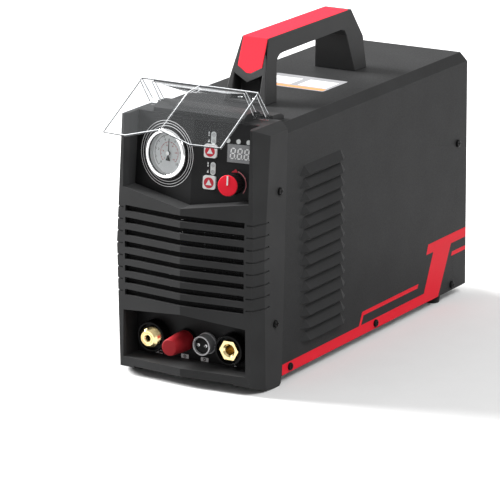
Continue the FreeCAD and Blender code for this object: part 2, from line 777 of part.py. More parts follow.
def handle_inlay():
    """Coloured cap set flush into the handle's top and running down its front to a point."""
    top = box((-INLAY_HALF, INLAY_HALF), (-62.0, 84.0), (HANDLE_TOP - 2.0, HANDLE_TOP))
    slope = [(-61.0, HANDLE_TOP), (-73.6, 262.2), (-71.8, 261.6), (-59.0, HANDLE_TOP - 2.0)]
    front = prism_x(slope, -INLAY_HALF, INLAY_HALF)
    point = [
        (-INLAY_HALF - 1.0, 268.5),
        (0.0, 261.0),
        (INLAY_HALF + 1.0, 268.5),
        (INLAY_HALF + 1.0, 250.0),
        (-INLAY_HALF - 1.0, 250.0),
    ]
    front = front.cut(prism_y(point, -90.0, -50.0))
    body = fused([top, front])
    return body.common(prism_x(HANDLE_SIDE, -20.0, 20.0))


# ---------------------------------------------------------------- control panel
def panel_y(x, z):
    """Y of the control panel's face at a point."""
    fold = math.tan(math.radians(PANEL_YAW)) * abs(x)
    lean = math.tan(math.radians(PANEL_TILT)) / math.cos(math.radians(PANEL_YAW)) * (z - PANEL_MID_Z)
    return PANEL_RIDGE_Y + fold + lean


def local_box(x, z, size, y):
    """Box on a panel half by its centre, (width, height) and (front, back) local depths."""
    along, up = panel_local(x, z)
    return centred_box((along, (y[0] + y[1]) / 2.0, up), (size[0], y[1] - y[0], size[1]))


def local_rod(x, z, radius, y):
    """Cylinder square to a panel half between two local depths."""
    along, up = panel_local(x, z)
    return rod((along, y[0], up), (0, 1, 0), radius, y[1] - y[0])


def local_ring(x, z, outer, inner, y):
    """Tube square to a panel half between two local depths."""
    return local_rod(x, z, outer, y).cut(local_rod(x, z, inner, (y[0] - 1.0, y[1] + 1.0)))


def front_rims(shape):
    """Circular edges at the shape's foremost Y."""
    front = shape.BoundBox.YMin + 0.1
    return [e for e in shape.Edges if e.BoundBox.YMax < front and len(e.Vertexes) == 1]


def rounded(shape, radius):
    """Shape with the edges that run along local Y rounded."""
    edges = []
    for edge in shape.Edges:
        span = edge.BoundBox
        if span.YLength > 0.5 and span.XLength < 0.01 and span.ZLength < 0.01:
            edges.append(edge)
    return shape.makeFillet(radius, edges)


def panel_cutouts():
    """Holes in the right half for buttons, lamps, display and knob, and in the left for the gauge."""
    tools = []
    depth = (-3.0, 8.0)
    for z in BUTTON_ZS:
        size = (BUTTON_SIZE + 0.6, BUTTON_SIZE + 0.6)
        tools.append(panel_place(rounded(local_box(BUTTON_X, z, size, depth), 2.2), 1))
    for x, z in CAPSULES:
        tools.append(panel_place(rounded(local_box(x, z, CAPSULE_SIZE, depth), 2.4), 1))
    for x, z in DOTS:
        tools.append(panel_place(local_rod(x, z, DOT_R, depth), 1))
    tools.append(panel_place(local_box(DISPLAY_X, DISPLAY_Z, DISPLAY_SIZE, depth), 1))
    tools.append(panel_place(local_rod(KNOB_X, KNOB_Z, 4.5, depth), 1))
    tools.append(panel_place(local_rod(GAUGE_X, GAUGE_Z, 20.1, depth), -1))
    return tools


def control_panel():
    """V-shaped moulded panel with a top flange, pierced for the instruments."""
    half = RECESS_HALF
    low = RECESS_MID_Z - 2.0
    sections = []
    for z in (low, BEZEL_TOP):
        front = [(-half, panel_y(half, z)), (0.0, panel_y(0.0, z)), (half, panel_y(half, z))]
        back = [(x, y + PANEL_THICK) for x, y in reversed(front)]
        sections.append((z, front + back))
    plate = loft_z(sections)
    top = BEZEL_TOP
    flange_back = panel_y(half, top - 2.4) + PANEL_THICK - 0.3
    ledge = [
        (-half, panel_y(half, top - 2.4) + 0.4),
        (0.0, panel_y(0.0, top - 2.4) + 0.4),
        (half, panel_y(half, top - 2.4) + 0.4),
        (half, flange_back),
        (-half, flange_back),
    ]
    body = fused([plate, prism_z(ledge, top - 2.4, top)])
    under = vee_prism(RECESS_SIDE_Z, RECESS_MID_Z, low - 20.0, (-220.0, -120.0), half + 1.0)
    return cut_all(body.cut(under), panel_cutouts())


def indicator_lamps():
    """Lenses of two capsule lamps and three round lamps, set in the panel."""
    lamps = []
    for x, z in CAPSULES:
        size = (CAPSULE_SIZE[0] - 0.1, CAPSULE_SIZE[1] - 0.1)
        lamps.append(rounded(local_box(x, z, size, (-0.4, 2.5)), 2.35))
    for x, z in DOTS:
        lamps.append(local_rod(x, z, DOT_R - 0.05, (-0.5, 2.5)))
    return Part.makeCompound([panel_place(lamp, 1) for lamp in lamps])


def display_module():
    """Three-digit seven-segment display block with its tinted face."""
    return panel_place(local_box(DISPLAY_X, DISPLAY_Z, (22.2, 16.2), (-0.3, 12.0)), 1)


def push_button(z):
    """Square push button with a retaining flange and a plunger."""
    cap = local_box(BUTTON_X, z, (BUTTON_SIZE, BUTTON_SIZE), (-1.9, 3.0))
    cap = rounded(cap, 2.0)
    flange = local_box(BUTTON_X, z, (BUTTON_SIZE + 1.6, BUTTON_SIZE + 1.6), (2.95, 3.9))
    plunger = local_rod(BUTTON_X, z, 1.6, (3.8, BUTTON_BACK))
    return panel_place(fused([cap, flange, plunger]), 1)


def button_upper():
    """Button beside the display."""
    return push_button(BUTTON_ZS[0])


def button_lower():
    """Button beside the knob."""
    return push_button(BUTTON_ZS[1])


def control_board():
    """Circuit board behind the right half of the panel with a switch under each button."""
    low_x, low_z = panel_local(9.0, 174.5)
    high_x, high_z = panel_local(56.0, 227.0)
    parts = [box((low_x, high_x), (14.0, 15.6), (low_z, high_z))]
    parts.append(box((low_x + 10.0, low_x + 18.0), (15.6, 17.4), (-8.0, 2.0)))
    parts.append(box((low_x + 24.0, low_x + 40.0), (15.6, 24.0), (-24.0, -18.0)))
    gap = BUTTON_TRAVEL + 0.3
    for z in BUTTON_ZS:
        parts.append(local_box(BUTTON_X, z, (6.0, 6.0), (9.2, 14.0)))
        parts.append(local_rod(BUTTON_X, z, 1.7, (BUTTON_BACK + gap, 9.3)))
    return panel_place(fused(parts), 1)


def potentiometer():
    """Rotary control body with its threaded bushing through the panel."""
    can = local_ring(KNOB_X, KNOB_Z, 8.4, 3.0 + FIT, (4.0, 13.9))
    bushing = local_ring(KNOB_X, KNOB_Z, 4.4, 3.0 + FIT, (-0.6, 4.1))
    nut = local_ring(KNOB_X, KNOB_Z, 6.0, 4.4, (2.7, 4.1))
    return panel_place(fused([can, bushing, nut]), 1)


def knob_shaft():
    """Shaft of the rotary control."""
    return panel_place(local_rod(KNOB_X, KNOB_Z, 3.0, (-10.0, 13.0)), 1)


def knob_body():
    """Black knob skirt with grip flutes, pressed on the shaft."""
    along, up = panel_local(KNOB_X, KNOB_Z)
    skirt = local_rod(KNOB_X, KNOB_Z, KNOB_R, (KNOB_FACE, -1.0))
    bore = local_rod(KNOB_X, KNOB_Z, 3.0, (-10.0, 0.0))
    under = local_ring(KNOB_X, KNOB_Z, KNOB_R - 1.4, 5.2, (-8.0, 0.0))
    flutes = []
    for x, z in polar(20, KNOB_R + 0.35):
        flutes.append(rod((along + x, KNOB_FACE + 1.4, up + z), (0, 1, 0), 0.75, 14.0))
    return panel_place(cut_all(skirt, [bore, under] + flutes), 1)


def knob_cap():
    """Coloured cap disc with a raised pointer line."""
    along, up = panel_local(KNOB_X, KNOB_Z)
    disc = local_rod(KNOB_X, KNOB_Z, KNOB_R - 0.2, (KNOB_FACE - 1.4, KNOB_FACE))
    disc = disc.makeFillet(0.6, front_rims(disc))
    line = centred_box((along, KNOB_FACE - 1.4, up + 4.6), (1.3, 0.6, 8.6))
    return panel_place(fused([disc, line]), 1)


# ---------------------------------------------------------------- air gauge
def gauge_case():
    """Gauge can with its mounting flange."""
    can = local_rod(GAUGE_X, GAUGE_Z, 20.0, (GAUGE_LENS_Y + 1.2, 22.0))
    flange = local_rod(GAUGE_X, GAUGE_Z, GAUGE_R - 0.4, (-1.0, 0.0))
    hollow = local_rod(GAUGE_X, GAUGE_Z, 18.8, (GAUGE_LENS_Y, 20.6))
    stem = local_rod(GAUGE_X, GAUGE_Z, 5.0, (20.6, 24.0))
    return panel_place(fused([can, flange]).cut(hollow).fuse(stem).removeSplitter(), -1)


def gauge_ring():
    """Bright rolled ring that holds the lens."""
    outer = local_rod(GAUGE_X, GAUGE_Z, GAUGE_R, (GAUGE_RING_Y, -1.0))
    outer = outer.makeFillet(1.5, front_rims(outer))
    seat = local_rod(GAUGE_X, GAUGE_Z, 20.02, (GAUGE_LENS_Y, 0.0))
    mouth = local_rod(GAUGE_X, GAUGE_Z, 18.9, (GAUGE_RING_Y - 1.0, GAUGE_LENS_Y + 0.1))
    return panel_place(cut_all(outer, [seat, mouth]), -1)


def gauge_lens():
    """Clear disc over the dial."""
    return panel_place(local_rod(GAUGE_X, GAUGE_Z, 20.0, (GAUGE_LENS_Y, GAUGE_LENS_Y + 1.2)), -1)


def gauge_dial():
    """Round dial plate with a centre hole."""
    return panel_place(local_ring(GAUGE_X, GAUGE_Z, 18.75, 1.2, (DIAL_Y, DIAL_Y + 0.6)), -1)


def gauge_needle():
    """Pointer with a triangular tail, hub and spindle."""
    along, up = panel_local(GAUGE_X, GAUGE_Z)
    blade = [(0.55, -5.0), (0.22, 13.2), (-0.22, 13.2), (-0.55, -5.0)]
    tail = [(0.5, -1.5), (2.4, -6.6), (-2.4, -6.6), (-0.5, -1.5)]
    flats = []
    for outline in (blade, tail):
        points = [(along + x, DIAL_Y - 1.9, up + z) for x, z in outline]
        flats.append(prism(points, (0, 0.5, 0)))
    hub = local_rod(GAUGE_X, GAUGE_Z, 1.9, (DIAL_Y - 2.7, DIAL_Y - 0.9))
    spindle = local_rod(GAUGE_X, GAUGE_Z, 0.7, (DIAL_Y - 1.0, DIAL_Y + 6.2))
    return panel_place(fused(flats + [hub, spindle]), -1)


def gauge_movement():
    """Brass movement block behind the dial with the spindle's bearing and the curved tube."""
    back = DIAL_Y + 0.6
    block = local_box(GAUGE_X, GAUGE_Z, (16.0, 12.0), (back, back + 9.6))
    bore = local_rod(GAUGE_X, GAUGE_Z, 0.7 + FIT, (back - 1.0, back + 6.6))
    post = local_rod(GAUGE_X, GAUGE_Z, 3.5, (back + 9.5, 20.6))
    coil = local_ring(GAUGE_X, GAUGE_Z, 15.5, 13.5, (back + 4.1, back + 8.1))
    along, up = panel_local(GAUGE_X, GAUGE_Z)
    gap = box((along - 18.0, along + 7.0), (back + 3.0, back + 9.0), (up - 18.0, up - 3.0))
    link = box((along + 6.0, along + 14.0), (back + 4.1, back + 8.1), (up - 2.0, up + 2.0))
    return panel_place(fused([block.cut(bore), post, coil.cut(gap), link]), -1)


def air_fittings():
    """Brass elbow on the gauge's rear stem and brass tee behind the torch stud."""
    nut = local_ring(GAUGE_X, GAUGE_Z, 7.0, 3.0, (24.0, 32.0))
    block = local_box(GAUGE_X, GAUGE_Z, (12.0, 12.0), (31.9, 41.0))
    elbow = panel_place(fused([nut, block]), -1)
    x, y, z = GAUGE_HOSE_TOP
    barb = rod((x, y, z), (0, 0, 1), 3.2, 10.0)
    elbow = fused([elbow, barb]).cut(rod((x, y, z - 1.0), (0, 0, 1), HOSE_SMALL_BORE, 11.0))
    body = rod((TORCH_X, TEE_Y[0], PORT_AXIS_Z), (0, 1, 0), 6.0, TEE_Y[1] - TEE_Y[0])
    branch = rod((TORCH_X, TEE_BRANCH_Y, PORT_AXIS_Z), (0, 0, 1), 4.5, TEE_RISE)
    way = rod((TORCH_X, TEE_Y[0] - 1.0, PORT_AXIS_Z), (0, 1, 0), HOSE_BORE, 20.0)
    riser = rod((TORCH_X, TEE_BRANCH_Y, PORT_AXIS_Z), (0, 0, 1), HOSE_SMALL_BORE, TEE_RISE + 1.0)
    tee = fused([body, branch]).cut(way).cut(riser)
    return Part.makeCompound([elbow, tee])


# ---------------------------------------------------------------- connectors
def connector_plate():
    """Flat plate that carries the four front connectors."""
    low = PORT_BOTTOM_Z - RECESS_LIP
    plate = box((-69.0, 69.0), (PORT_FACE_Y, PORT_FACE_Y + 2.6), (low, PORT_MID_Z + RECESS_LIP))
    axis = (0, 1, 0)
    y = PORT_FACE_Y - 1.0
    tools = [
        rod((TORCH_X, y, PORT_AXIS_Z), axis, 11.02, 6.0),
        rod((POST_X, y, PORT_AXIS_Z), axis, 5.02, 6.0),
        rod((PILOT_PLUG_X, y, PORT_AXIS_Z), axis, 7.02, 6.0),
        rod((GROUND_X, y, PORT_AXIS_Z), axis, 11.02, 6.0),
    ]
    return cut_all(plate, tools)


def socket_insulator(x, front, bore):
    """Moulded insulator with a cupped collar in front and a body through the plate."""
    axis = (0, 1, 0)
    collar = rod((x, front, PORT_AXIS_Z), axis, COLLAR_R, PORT_FACE_Y - front)
    collar = collar.makeFillet(1.0, front_rims(collar))
    cup = rod((x, front - 1.0, PORT_AXIS_Z), axis, COLLAR_CUP_R, COLLAR_CUP_DEPTH + 1.0)
    neck = rod((x, PORT_FACE_Y - 1.0, PORT_AXIS_Z), axis, 11.0, 14.0)
    nut = hexagon_z((0.0, 0.0, 0.0), 30.0, 5.0)
    nut.rotate(Vector(0, 0, 0), Vector(1, 0, 0), -90.0)
    nut.translate(Vector(x, PORT_FACE_Y + 2.6, PORT_AXIS_Z))
    hole = rod((x, front - 2.0, PORT_AXIS_Z), axis, bore, 40.0)
    return cut_all(fused([collar, neck, nut]), [cup, hole])


def torch_insulator():
    """Black collar of the torch connector."""
    return socket_insulator(TORCH_X, TORCH_COLLAR_Y, 8.0)


def torch_stud():
    """Brass threaded stud with a gas bore, a narrower body and a hose barb behind."""
    axis = (0, 1, 0)
    seat = TORCH_COLLAR_Y + COLLAR_CUP_DEPTH
    nose = rod((TORCH_X, TORCH_FRONT_Y, PORT_AXIS_Z), axis, TORCH_NOSE_R, seat - TORCH_FRONT_Y)
    nose = nose.makeChamfer(1.6, front_rims(nose))
    body = rod((TORCH_X, seat - 1.0, PORT_AXIS_Z), axis, 8.0, -138.0 - seat + 1.0)
    barb = rod((TORCH_X, -138.2, PORT_AXIS_Z), axis, 4.0, 9.2)
    bore = rod((TORCH_X, TORCH_FRONT_Y - 1.0, PORT_AXIS_Z), axis, HOSE_BORE, 60.0)
    return fused([nose, body, barb]).cut(bore)


def ground_insulator():
    """Black collar of the ground-clamp socket."""
    return socket_insulator(GROUND_X, GROUND_COLLAR_Y, 8.3)


def ground_socket():
    """Brass socket with a hexagon front and a smooth bore."""
    axis = (0, 1, 0)
    front = GROUND_FRONT_Y
    seat = GROUND_COLLAR_Y + COLLAR_CUP_DEPTH
    nut = hexagon_z((0.0, 0.0, 0.0), 17.0, seat - front)
    nut.rotate(Vector(0, 0, 0), Vector(1, 0, 0), -90.0)
    nut.translate(Vector(GROUND_X, front, PORT_AXIS_Z))
    barrel = fused([nut, rod((GROUND_X, seat - 1.0, PORT_AXIS_Z), axis, 8.3, -138.0 - seat + 1.0)])
    bore = rod((GROUND_X, front - 1.0, PORT_AXIS_Z), axis, GROUND_BORE_R, GROUND_BORE_DEPTH + 1.0)
    mouth = Part.makeCone(
        6.2, GROUND_BORE_R, 1.6, Vector(GROUND_X, front - 0.01, PORT_AXIS_Z), Vector(0, 1, 0)
    )
    return cut_all(barrel, [bore, mouth])


def post_collar():
    """Insulating washer under the pilot-arc post with its neck through the plate."""
    axis = (0, 1, 0)
    washer = rod((POST_X, -168.0, PORT_AXIS_Z), axis, 10.2, 3.0)
    neck = rod((POST_X, -165.5, PORT_AXIS_Z), axis, 5.0, 8.0)
    hole = rod((POST_X, -170.0, PORT_AXIS_Z), axis, 3.0, 20.0)
    return fused([washer, neck]).cut(hole)


def post_stud():
    """Threaded brass stud of the pilot-arc post with its rear nut."""
    axis = (0, 1, 0)
    front = POST_TIP_Y + 7.0
    stud = rod((POST_X, front, PORT_AXIS_Z), axis, 3.0, -144.0 - front)
    nut = hexagon_z((0.0, 0.0, 0.0), 10.0, 4.0)
    nut.rotate(Vector(0, 0, 0), Vector(1, 0, 0), -90.0)
    nut.translate(Vector(POST_X, -157.5, PORT_AXIS_Z))
    return fused([stud, nut])


def post_cap():
    """Red insulated thumb nut of the pilot-arc post, tapering from its base to its tip."""
    axis = Vector(0, 1, 0)
    base = rod((POST_X, -174.0, PORT_AXIS_Z), (0, 1, 0), 9.3, 5.7)
    taper = Part.makeCone(7.6, 9.3, -174.0 - POST_TIP_Y, Vector(POST_X, POST_TIP_Y, PORT_AXIS_Z), axis)
    taper = taper.makeFillet(0.9, front_rims(taper))
    bore = rod((POST_X, POST_TIP_Y + 6.6, PORT_AXIS_Z), (0, 1, 0), 3.0 + FIT, 30.0)
    return fused([base, taper]).cut(bore)


def pilot_plug_shell():
    """Chromed shell of the two-pin trigger connector with its rear nut."""
    axis = (0, 1, 0)
    at = (PILOT_PLUG_X, -176.5, PORT_AXIS_Z)
    shell = ring(at, axis, 9.0, PILOT_INSERT_R, 11.5)
    flange = ring((PILOT_PLUG_X, -167.2, PORT_AXIS_Z), axis, 9.9, PILOT_INSERT_R, 2.2)
    neck = ring((PILOT_PLUG_X, -165.6, PORT_AXIS_Z), axis, 7.0, 5.8, 12.1)
    web = ring((PILOT_PLUG_X, -165.6, PORT_AXIS_Z), axis, 7.8, 5.8, 0.6)
    nut = ring((PILOT_PLUG_X, PORT_FACE_Y + 2.6, PORT_AXIS_Z), axis, 9.0, 6.9, 3.0)
    return fused([shell, flange, web, neck, nut])


def pilot_plug_insert():
    """Black insert of the trigger connector with its two contact pins."""
    axis = (0, 1, 0)
    disc = rod((PILOT_PLUG_X, -174.0, PORT_AXIS_Z), axis, PILOT_INSERT_R, 8.0)
    pins = []
    for side in (-1, 1):
        at = (PILOT_PLUG_X + side * 3.9, -176.2, PORT_AXIS_Z)
        pins.append(rod(at, axis, 1.1, 16.0))
    return Part.makeCompound([cut_all(disc, pins)] + pins)


# ---------------------------------------------------------------- power stage
def main_board():
    """Main circuit board on four posts."""
    board = box((-BOARD_HALF, BOARD_HALF), BOARD_Y, (BOARD_Z, BOARD_Z + BOARD_THICK))
    tools = []
    for x, y in POST_POINTS:
        tools.append(rod((x, y, BOARD_Z - 1.0), (0, 0, 1), SCREW_HOLE_R, 4.0))
    return cut_all(board, tools)


def board_posts():
    """Hexagonal posts between the floor and the main board."""
    posts = []
    low = FLOOR_Z + FLOOR_THICK
    for x, y in POST_POINTS:
        post = hexagon_z((x, y, low), 7.0, BOARD_Z - low)
        posts.append(post.cut(rod((x, y, BOARD_Z - 8.0), (0, 0, 1), SCREW_HOLE_R, 9.0)))
    return Part.makeCompound(posts)


def heat_sink(low_x, high_x):
    """Finned aluminium extrusion hanging under the power devices."""
    base = box((low_x, high_x), SINK_Y, (SINK_TOP - 7.0, SINK_TOP))
    fins = []
    count = 9
    pitch = (high_x - low_x - 2.0) / (count - 1)
    for k in range(count):
        x = low_x + pitch * k
        fins.append(box((x, x + 2.0), SINK_Y, (SINK_LOW, SINK_TOP - 6.5)))
    return fused([base] + fins)


def heat_sinks():
    """Left and right heat sinks."""
    return Part.makeCompound([heat_sink(-58.0, -4.0), heat_sink(4.0, 58.0)])


def power_devices():
    """Transistors and diodes clamped on the heat sinks under the board."""
    devices = []
    for x in (-46.0, -16.0, 16.0, 46.0):
        for k in range(4):
            y = -40.0 + 42.0 * k
            body = box((x - 8.0, x + 8.0), (y, y + 20.0), (SINK_TOP, SINK_TOP + 5.0))
            legs = box((x - 6.0, x + 6.0), (y + 19.0, y + 21.0), (SINK_TOP + 2.0, BOARD_Z))
            devices.append(fused([body, legs]))
    return Part.makeCompound(devices)


def bulk_capacitors():
    """Electrolytic capacitors standing on the board."""
    cans = []
    for x in (-38.0, 0.0, 38.0):
        for y in (66.0, 104.0):
            can = rod((x, y, BOARD_Z + BOARD_THICK), (0, 0, 1), 15.0, 48.0)
            top = [e for e in can.Edges if e.BoundBox.ZMin > 177.0 and len(e.Vertexes) == 1]
            cans.append(can.makeFillet(1.5, top))
    return Part.makeCompound(cans)


def transformer_core():
    """Two E-shaped ferrite halves of the power transformer."""
    outer = centred_box(TRANSFORMER_AT, (62.0, 22.0, 72.0))
    x, y, z = TRANSFORMER_AT
    windows = []
    for side in (-1, 1):
        windows.append(centred_box((x + side * 17.0, y, z), (12.0, 40.0, 50.0)))
    return cut_all(outer, windows)


def transformer_winding():
    """Copper and tape winding on the transformer's centre limb."""
    outer = centred_box(TRANSFORMER_AT, (45.6, 46.0, 49.6))
    limb = centred_box(TRANSFORMER_AT, (22.2, 22.2, 80.0))
    return outer.cut(limb)


def output_inductor():
    """Toroidal output choke on the floor tray."""
    tube = 11.0
    return Part.makeTorus(22.0, tube, Vector(0, 60.0, FLOOR_Z + FLOOR_THICK + tube), Vector(0, 0, 1))


def output_leads():
    """Copper straps from the board to the torch stud and the ground socket."""
    y = (-146.0, -144.5)
    top = BOARD_Z + BOARD_THICK + 3.0
    low = PORT_AXIS_Z - 11.0
    straps = []
    for side, x, hole_r in ((-1, -TORCH_X, 8.0), (1, GROUND_X, 8.3)):
        ear = box((31.0, 62.0), y, (low, PORT_AXIS_Z + 11.0))
        upright = box((52.0, 62.0), y, (low, top))
        shelf = box((52.0, 62.0), (y[0], -96.0), (top - 1.5, top))
        foot = box((52.0, 62.0), (-97.5, -96.0), (BOARD_Z + BOARD_THICK, top))
        hole = rod((x, y[0] - 1.0, PORT_AXIS_Z), (0, 1, 0), hole_r, 4.0)
        strap = fused([ear, upright, shelf, foot]).cut(hole)
        straps.append(strap if side > 0 else mirrored(strap))
    return Part.makeCompound(straps)


# ---------------------------------------------------------------- fan and rear fittings
def fan_corners():
    """Fan mounting holes (x, z)."""
    reach = FAN_PITCH / 2.0
    return [(x * reach, FAN_Z + z * reach) for x in (-1, 1) for z in (-1, 1)]


def fan_frame():
    """Square fan housing with a round duct, motor cup and four struts."""
    y = (FAN_FRONT_Y, FAN_FRONT_Y + FAN_DEPTH)
    half = FAN_SIZE / 2.0
    shell = box((-half, half), y, (FAN_Z - half, FAN_Z + half))
    shell = rounded(shell, 6.0)
    duct = rod((0, y[0] - 1.0, FAN_Z), (0, 1, 0), 57.4, FAN_DEPTH + 2.0)
    shell = shell.cut(duct)
    for x, z in fan_corners():
        shell = shell.cut(rod((x, y[0] - 1.0, z), (0, 1, 0), 2.15, FAN_DEPTH + 2.0))
    motor = rod((0, y[0], FAN_Z), (0, 1, 0), 17.0, 4.0)
    bearing = ring((0, y[0] + 3.9, FAN_Z), (0, 1, 0), 4.5, 2.0 + FIT, 10.0)
    struts = []
    for k in range(4):
        bar = box((12.0, 58.2), (y[0], y[0] + 3.0), (FAN_Z - 1.6, FAN_Z + 1.6))
        bar.rotate(Vector(0, 0, FAN_Z), Vector(0, 1, 0), 45.0 + 90.0 * k)
        struts.append(bar)
    return fused([shell, motor, bearing] + struts)


def fan_rotor():
    """Seven-bladed rotor with a hub cup and a shaft in the frame's bearing."""
    y0 = FAN_FRONT_Y + 4.4
    y1 = FAN_FRONT_Y + FAN_DEPTH - 1.0
    hub = rod((0, y0, FAN_Z), (0, 1, 0), 19.0, y1 - y0)
    cup = rod((0, y0 - 1.0, FAN_Z), (0, 1, 0), 17.2, y1 - y0 - 1.0)
    shaft = rod((0, FAN_FRONT_Y + 4.6, FAN_Z), (0, 1, 0), 2.0, y1 - FAN_FRONT_Y - 5.0)
    blades = []
    for k in range(7):
        blade = prism(
            [
                (17.4, y0 + 0.8, FAN_Z - 6.0),
                (17.4, y0 + 2.4, FAN_Z - 6.6),
                (17.4, y1 - 0.4, FAN_Z + 6.4),
                (17.4, y1 - 2.0, FAN_Z + 7.0),
            ],
            (38.8, 0, 0),
        )
        blade.rotate(Vector(0, 0, FAN_Z), Vector(0, 1, 0), 360.0 / 7.0 * k)
        blades.append(blade)
    return fused([hub.cut(cup), shaft] + blades)


def fan_guard():
    """Stamped finger guard: four rings on a cross of arms, held at the fan's corners."""
    y = REAR_PANEL_Y + REAR_PANEL_THICK
    rings = []
    for radius in (14.0, 26.0, 38.0, 50.0):
        rings.append(ring((0, y, FAN_Z), (0, 1, 0), radius + 1.1, radius - 1.1, GUARD_THICK))
    reach = FAN_PITCH / math.sqrt(2.0)
    arms = []
    for k in range(4):
        bar = box((13.5, reach - 2.5), (y, y + GUARD_THICK), (FAN_Z - 1.2, FAN_Z + 1.2))
        eye = ring((reach, y, FAN_Z), (0, 1, 0), 4.6, 2.2, GUARD_THICK)
        arm = fused([bar, eye])
        arm.rotate(Vector(0, 0, FAN_Z), Vector(0, 1, 0), 45.0 + 90.0 * k)
        arms.append(arm)
    return fused(rings + arms)


def fan_screws():
    """Long screws through guard, rear panel and fan."""
    y = REAR_PANEL_Y + REAR_PANEL_THICK + GUARD_THICK
    screws = []
    for x, z in fan_corners():
        screws.append(pan_screw((x, y, z), (0, 1, 0), 3.8, 2.2, 2.0, FAN_DEPTH + 3.0))
    return Part.makeCompound(screws)


def power_switch():
    """Rocker switch housing snapped into the rear panel."""
    y0 = REAR_PANEL_Y
    flange = box((SWITCH_X - 13.5, SWITCH_X + 13.5), (y0 + 2.0, y0 + 4.2), (SWITCH_Z - 17.5, SWITCH_Z + 17.5))
    body = box((SWITCH_X - 11.0, SWITCH_X + 11.0), (y0 - 26.0, y0 + 2.1), (SWITCH_Z - 15.0, SWITCH_Z + 15.0))
    cavity = box((SWITCH_X - 9.3, SWITCH_X + 9.3), (y0 - 14.0, y0 + 6.0), (SWITCH_Z - 13.6, SWITCH_Z + 13.6))
    tabs = []
    for z in (-9.0, 0.0, 9.0):
        tabs.append(centred_box((SWITCH_X, y0 - 31.0, SWITCH_Z + z), (6.3, 10.2, 0.8)))
    pivot = rod((SWITCH_X - 10.6, ROCKER_PIVOT_Y, SWITCH_Z), (1, 0, 0), 1.5 + FIT, 21.2)
    return fused([flange, body] + tabs).cut(cavity).cut(pivot)


def switch_rocker():
    """Rocker with stub axles, resting in its off position."""
    y = ROCKER_PIVOT_Y
    z = SWITCH_Z
    outline = [
        (y - 9.0, z - 3.0),
        (y - 9.0, z + 3.0),
        (y - 1.0, z + 12.2),
        (y + 5.0, z + 12.4),
        (y + 3.6, z),
        (y + 5.0, z - 12.4),
        (y - 1.0, z - 12.2),
    ]
    body = prism_x(outline, SWITCH_X - 8.9, SWITCH_X + 8.9)
    axle = rod((SWITCH_X - 10.5, y, z), (1, 0, 0), 1.5, 21.0)
    rocker = fused([body, axle])
    rocker.rotate(Vector(0, y, z), Vector(1, 0, 0), ROCKER_TILT)
    return rocker


def cord_gland():
    """Nylon gland for the supply cord: hexagon, clamping dome, neck and lock nut."""
    y = REAR_PANEL_Y + REAR_PANEL_THICK
    collar = hexagon_z((0.0, 0.0, 0.0), 24.0, 7.0)
    collar.rotate(Vector(0, 0, 0), Vector(1, 0, 0), -90.0)
    collar.translate(Vector(GLAND_X, y, GLAND_Z))
    dome = Part.makeCone(11.4, 8.6, 13.0, Vector(GLAND_X, y + 6.9, GLAND_Z), Vector(0, 1, 0))
    neck = rod((GLAND_X, y - 12.0, GLAND_Z), (0, 1, 0), 10.0, 12.1)
    nut = hexagon_z((0.0, 0.0, 0.0), 24.0, 5.0)
    nut.rotate(Vector(0, 0, 0), Vector(1, 0, 0), -90.0)
    nut.translate(Vector(GLAND_X, REAR_PANEL_Y - 5.0, GLAND_Z))
    bore = rod((GLAND_X, y - 20.0, GLAND_Z), (0, 1, 0), 5.5, 60.0)
    return fused([collar, dome, neck, nut]).cut(bore)


def air_inlet():
    """Brass bulkhead push-in fitting for the air hose, with its lock nut."""
    y = REAR_PANEL_Y + REAR_PANEL_THICK
    axis = (0, 1, 0)
    collar = hexagon_z((0.0, 0.0, 0.0), 17.0, 8.0)
    collar.rotate(Vector(0, 0, 0), Vector(1, 0, 0), -90.0)
    collar.translate(Vector(INLET_X, y, INLET_Z))
    sleeve = rod((INLET_X, y + 7.9, INLET_Z), axis, 7.2, INLET_END_Y - y - 7.9)
    end = [e for e in sleeve.Edges if e.BoundBox.YMin > INLET_END_Y - 0.1 and len(e.Vertexes) == 1]
    sleeve = sleeve.makeFillet(1.0, end)
    neck = rod((INLET_X, VALVE_Y[1], INLET_Z), axis, 6.5, y + 0.1 - VALVE_Y[1])
    nut = hexagon_z((0.0, 0.0, 0.0), 17.0, 4.0)
    nut.rotate(Vector(0, 0, 0), Vector(1, 0, 0), -90.0)
    nut.translate(Vector(INLET_X, REAR_PANEL_Y - 4.0, INLET_Z))
    bore = rod((INLET_X, INLET_END_Y - INLET_BORE_DEPTH, INLET_Z), axis, INLET_BORE_R, 40.0)
    way = rod((INLET_X, VALVE_Y[1] - 1.0, INLET_Z), axis, 2.5, 50.0)
    return fused([collar, sleeve, neck, nut]).cut(bore).cut(way)


def solenoid_valve():
    """Air solenoid valve: brass body, coil block and terminal hood."""
    body = box((INLET_X - 11.0, INLET_X + 11.0), VALVE_Y, (INLET_Z - 11.0, INLET_Z + 11.0))
    way = rod((INLET_X, VALVE_Y[0] - 1.0, INLET_Z), (0, 1, 0), 2.5, 40.0)
    port = rod((INLET_X, VALVE_Y[0] - 9.0, INLET_Z), (0, 1, 0), 4.0, 9.2)
    stem = rod((INLET_X, 159.0, INLET_Z - 16.0), (0, 0, 1), 5.0, 6.0)
    return fused([body, port, stem]).cut(way)


def valve_coil():
    """Encapsulated coil under the valve body."""
    coil = box((INLET_X - 12.0, INLET_X + 12.0), (145.0, 173.0), (INLET_Z - 42.0, INLET_Z - 16.0))
    hood = box((INLET_X - 24.0, INLET_X - 11.9), (152.0, 166.0), (INLET_Z - 36.0, INLET_Z - 22.0))
    return fused([coil, hood])


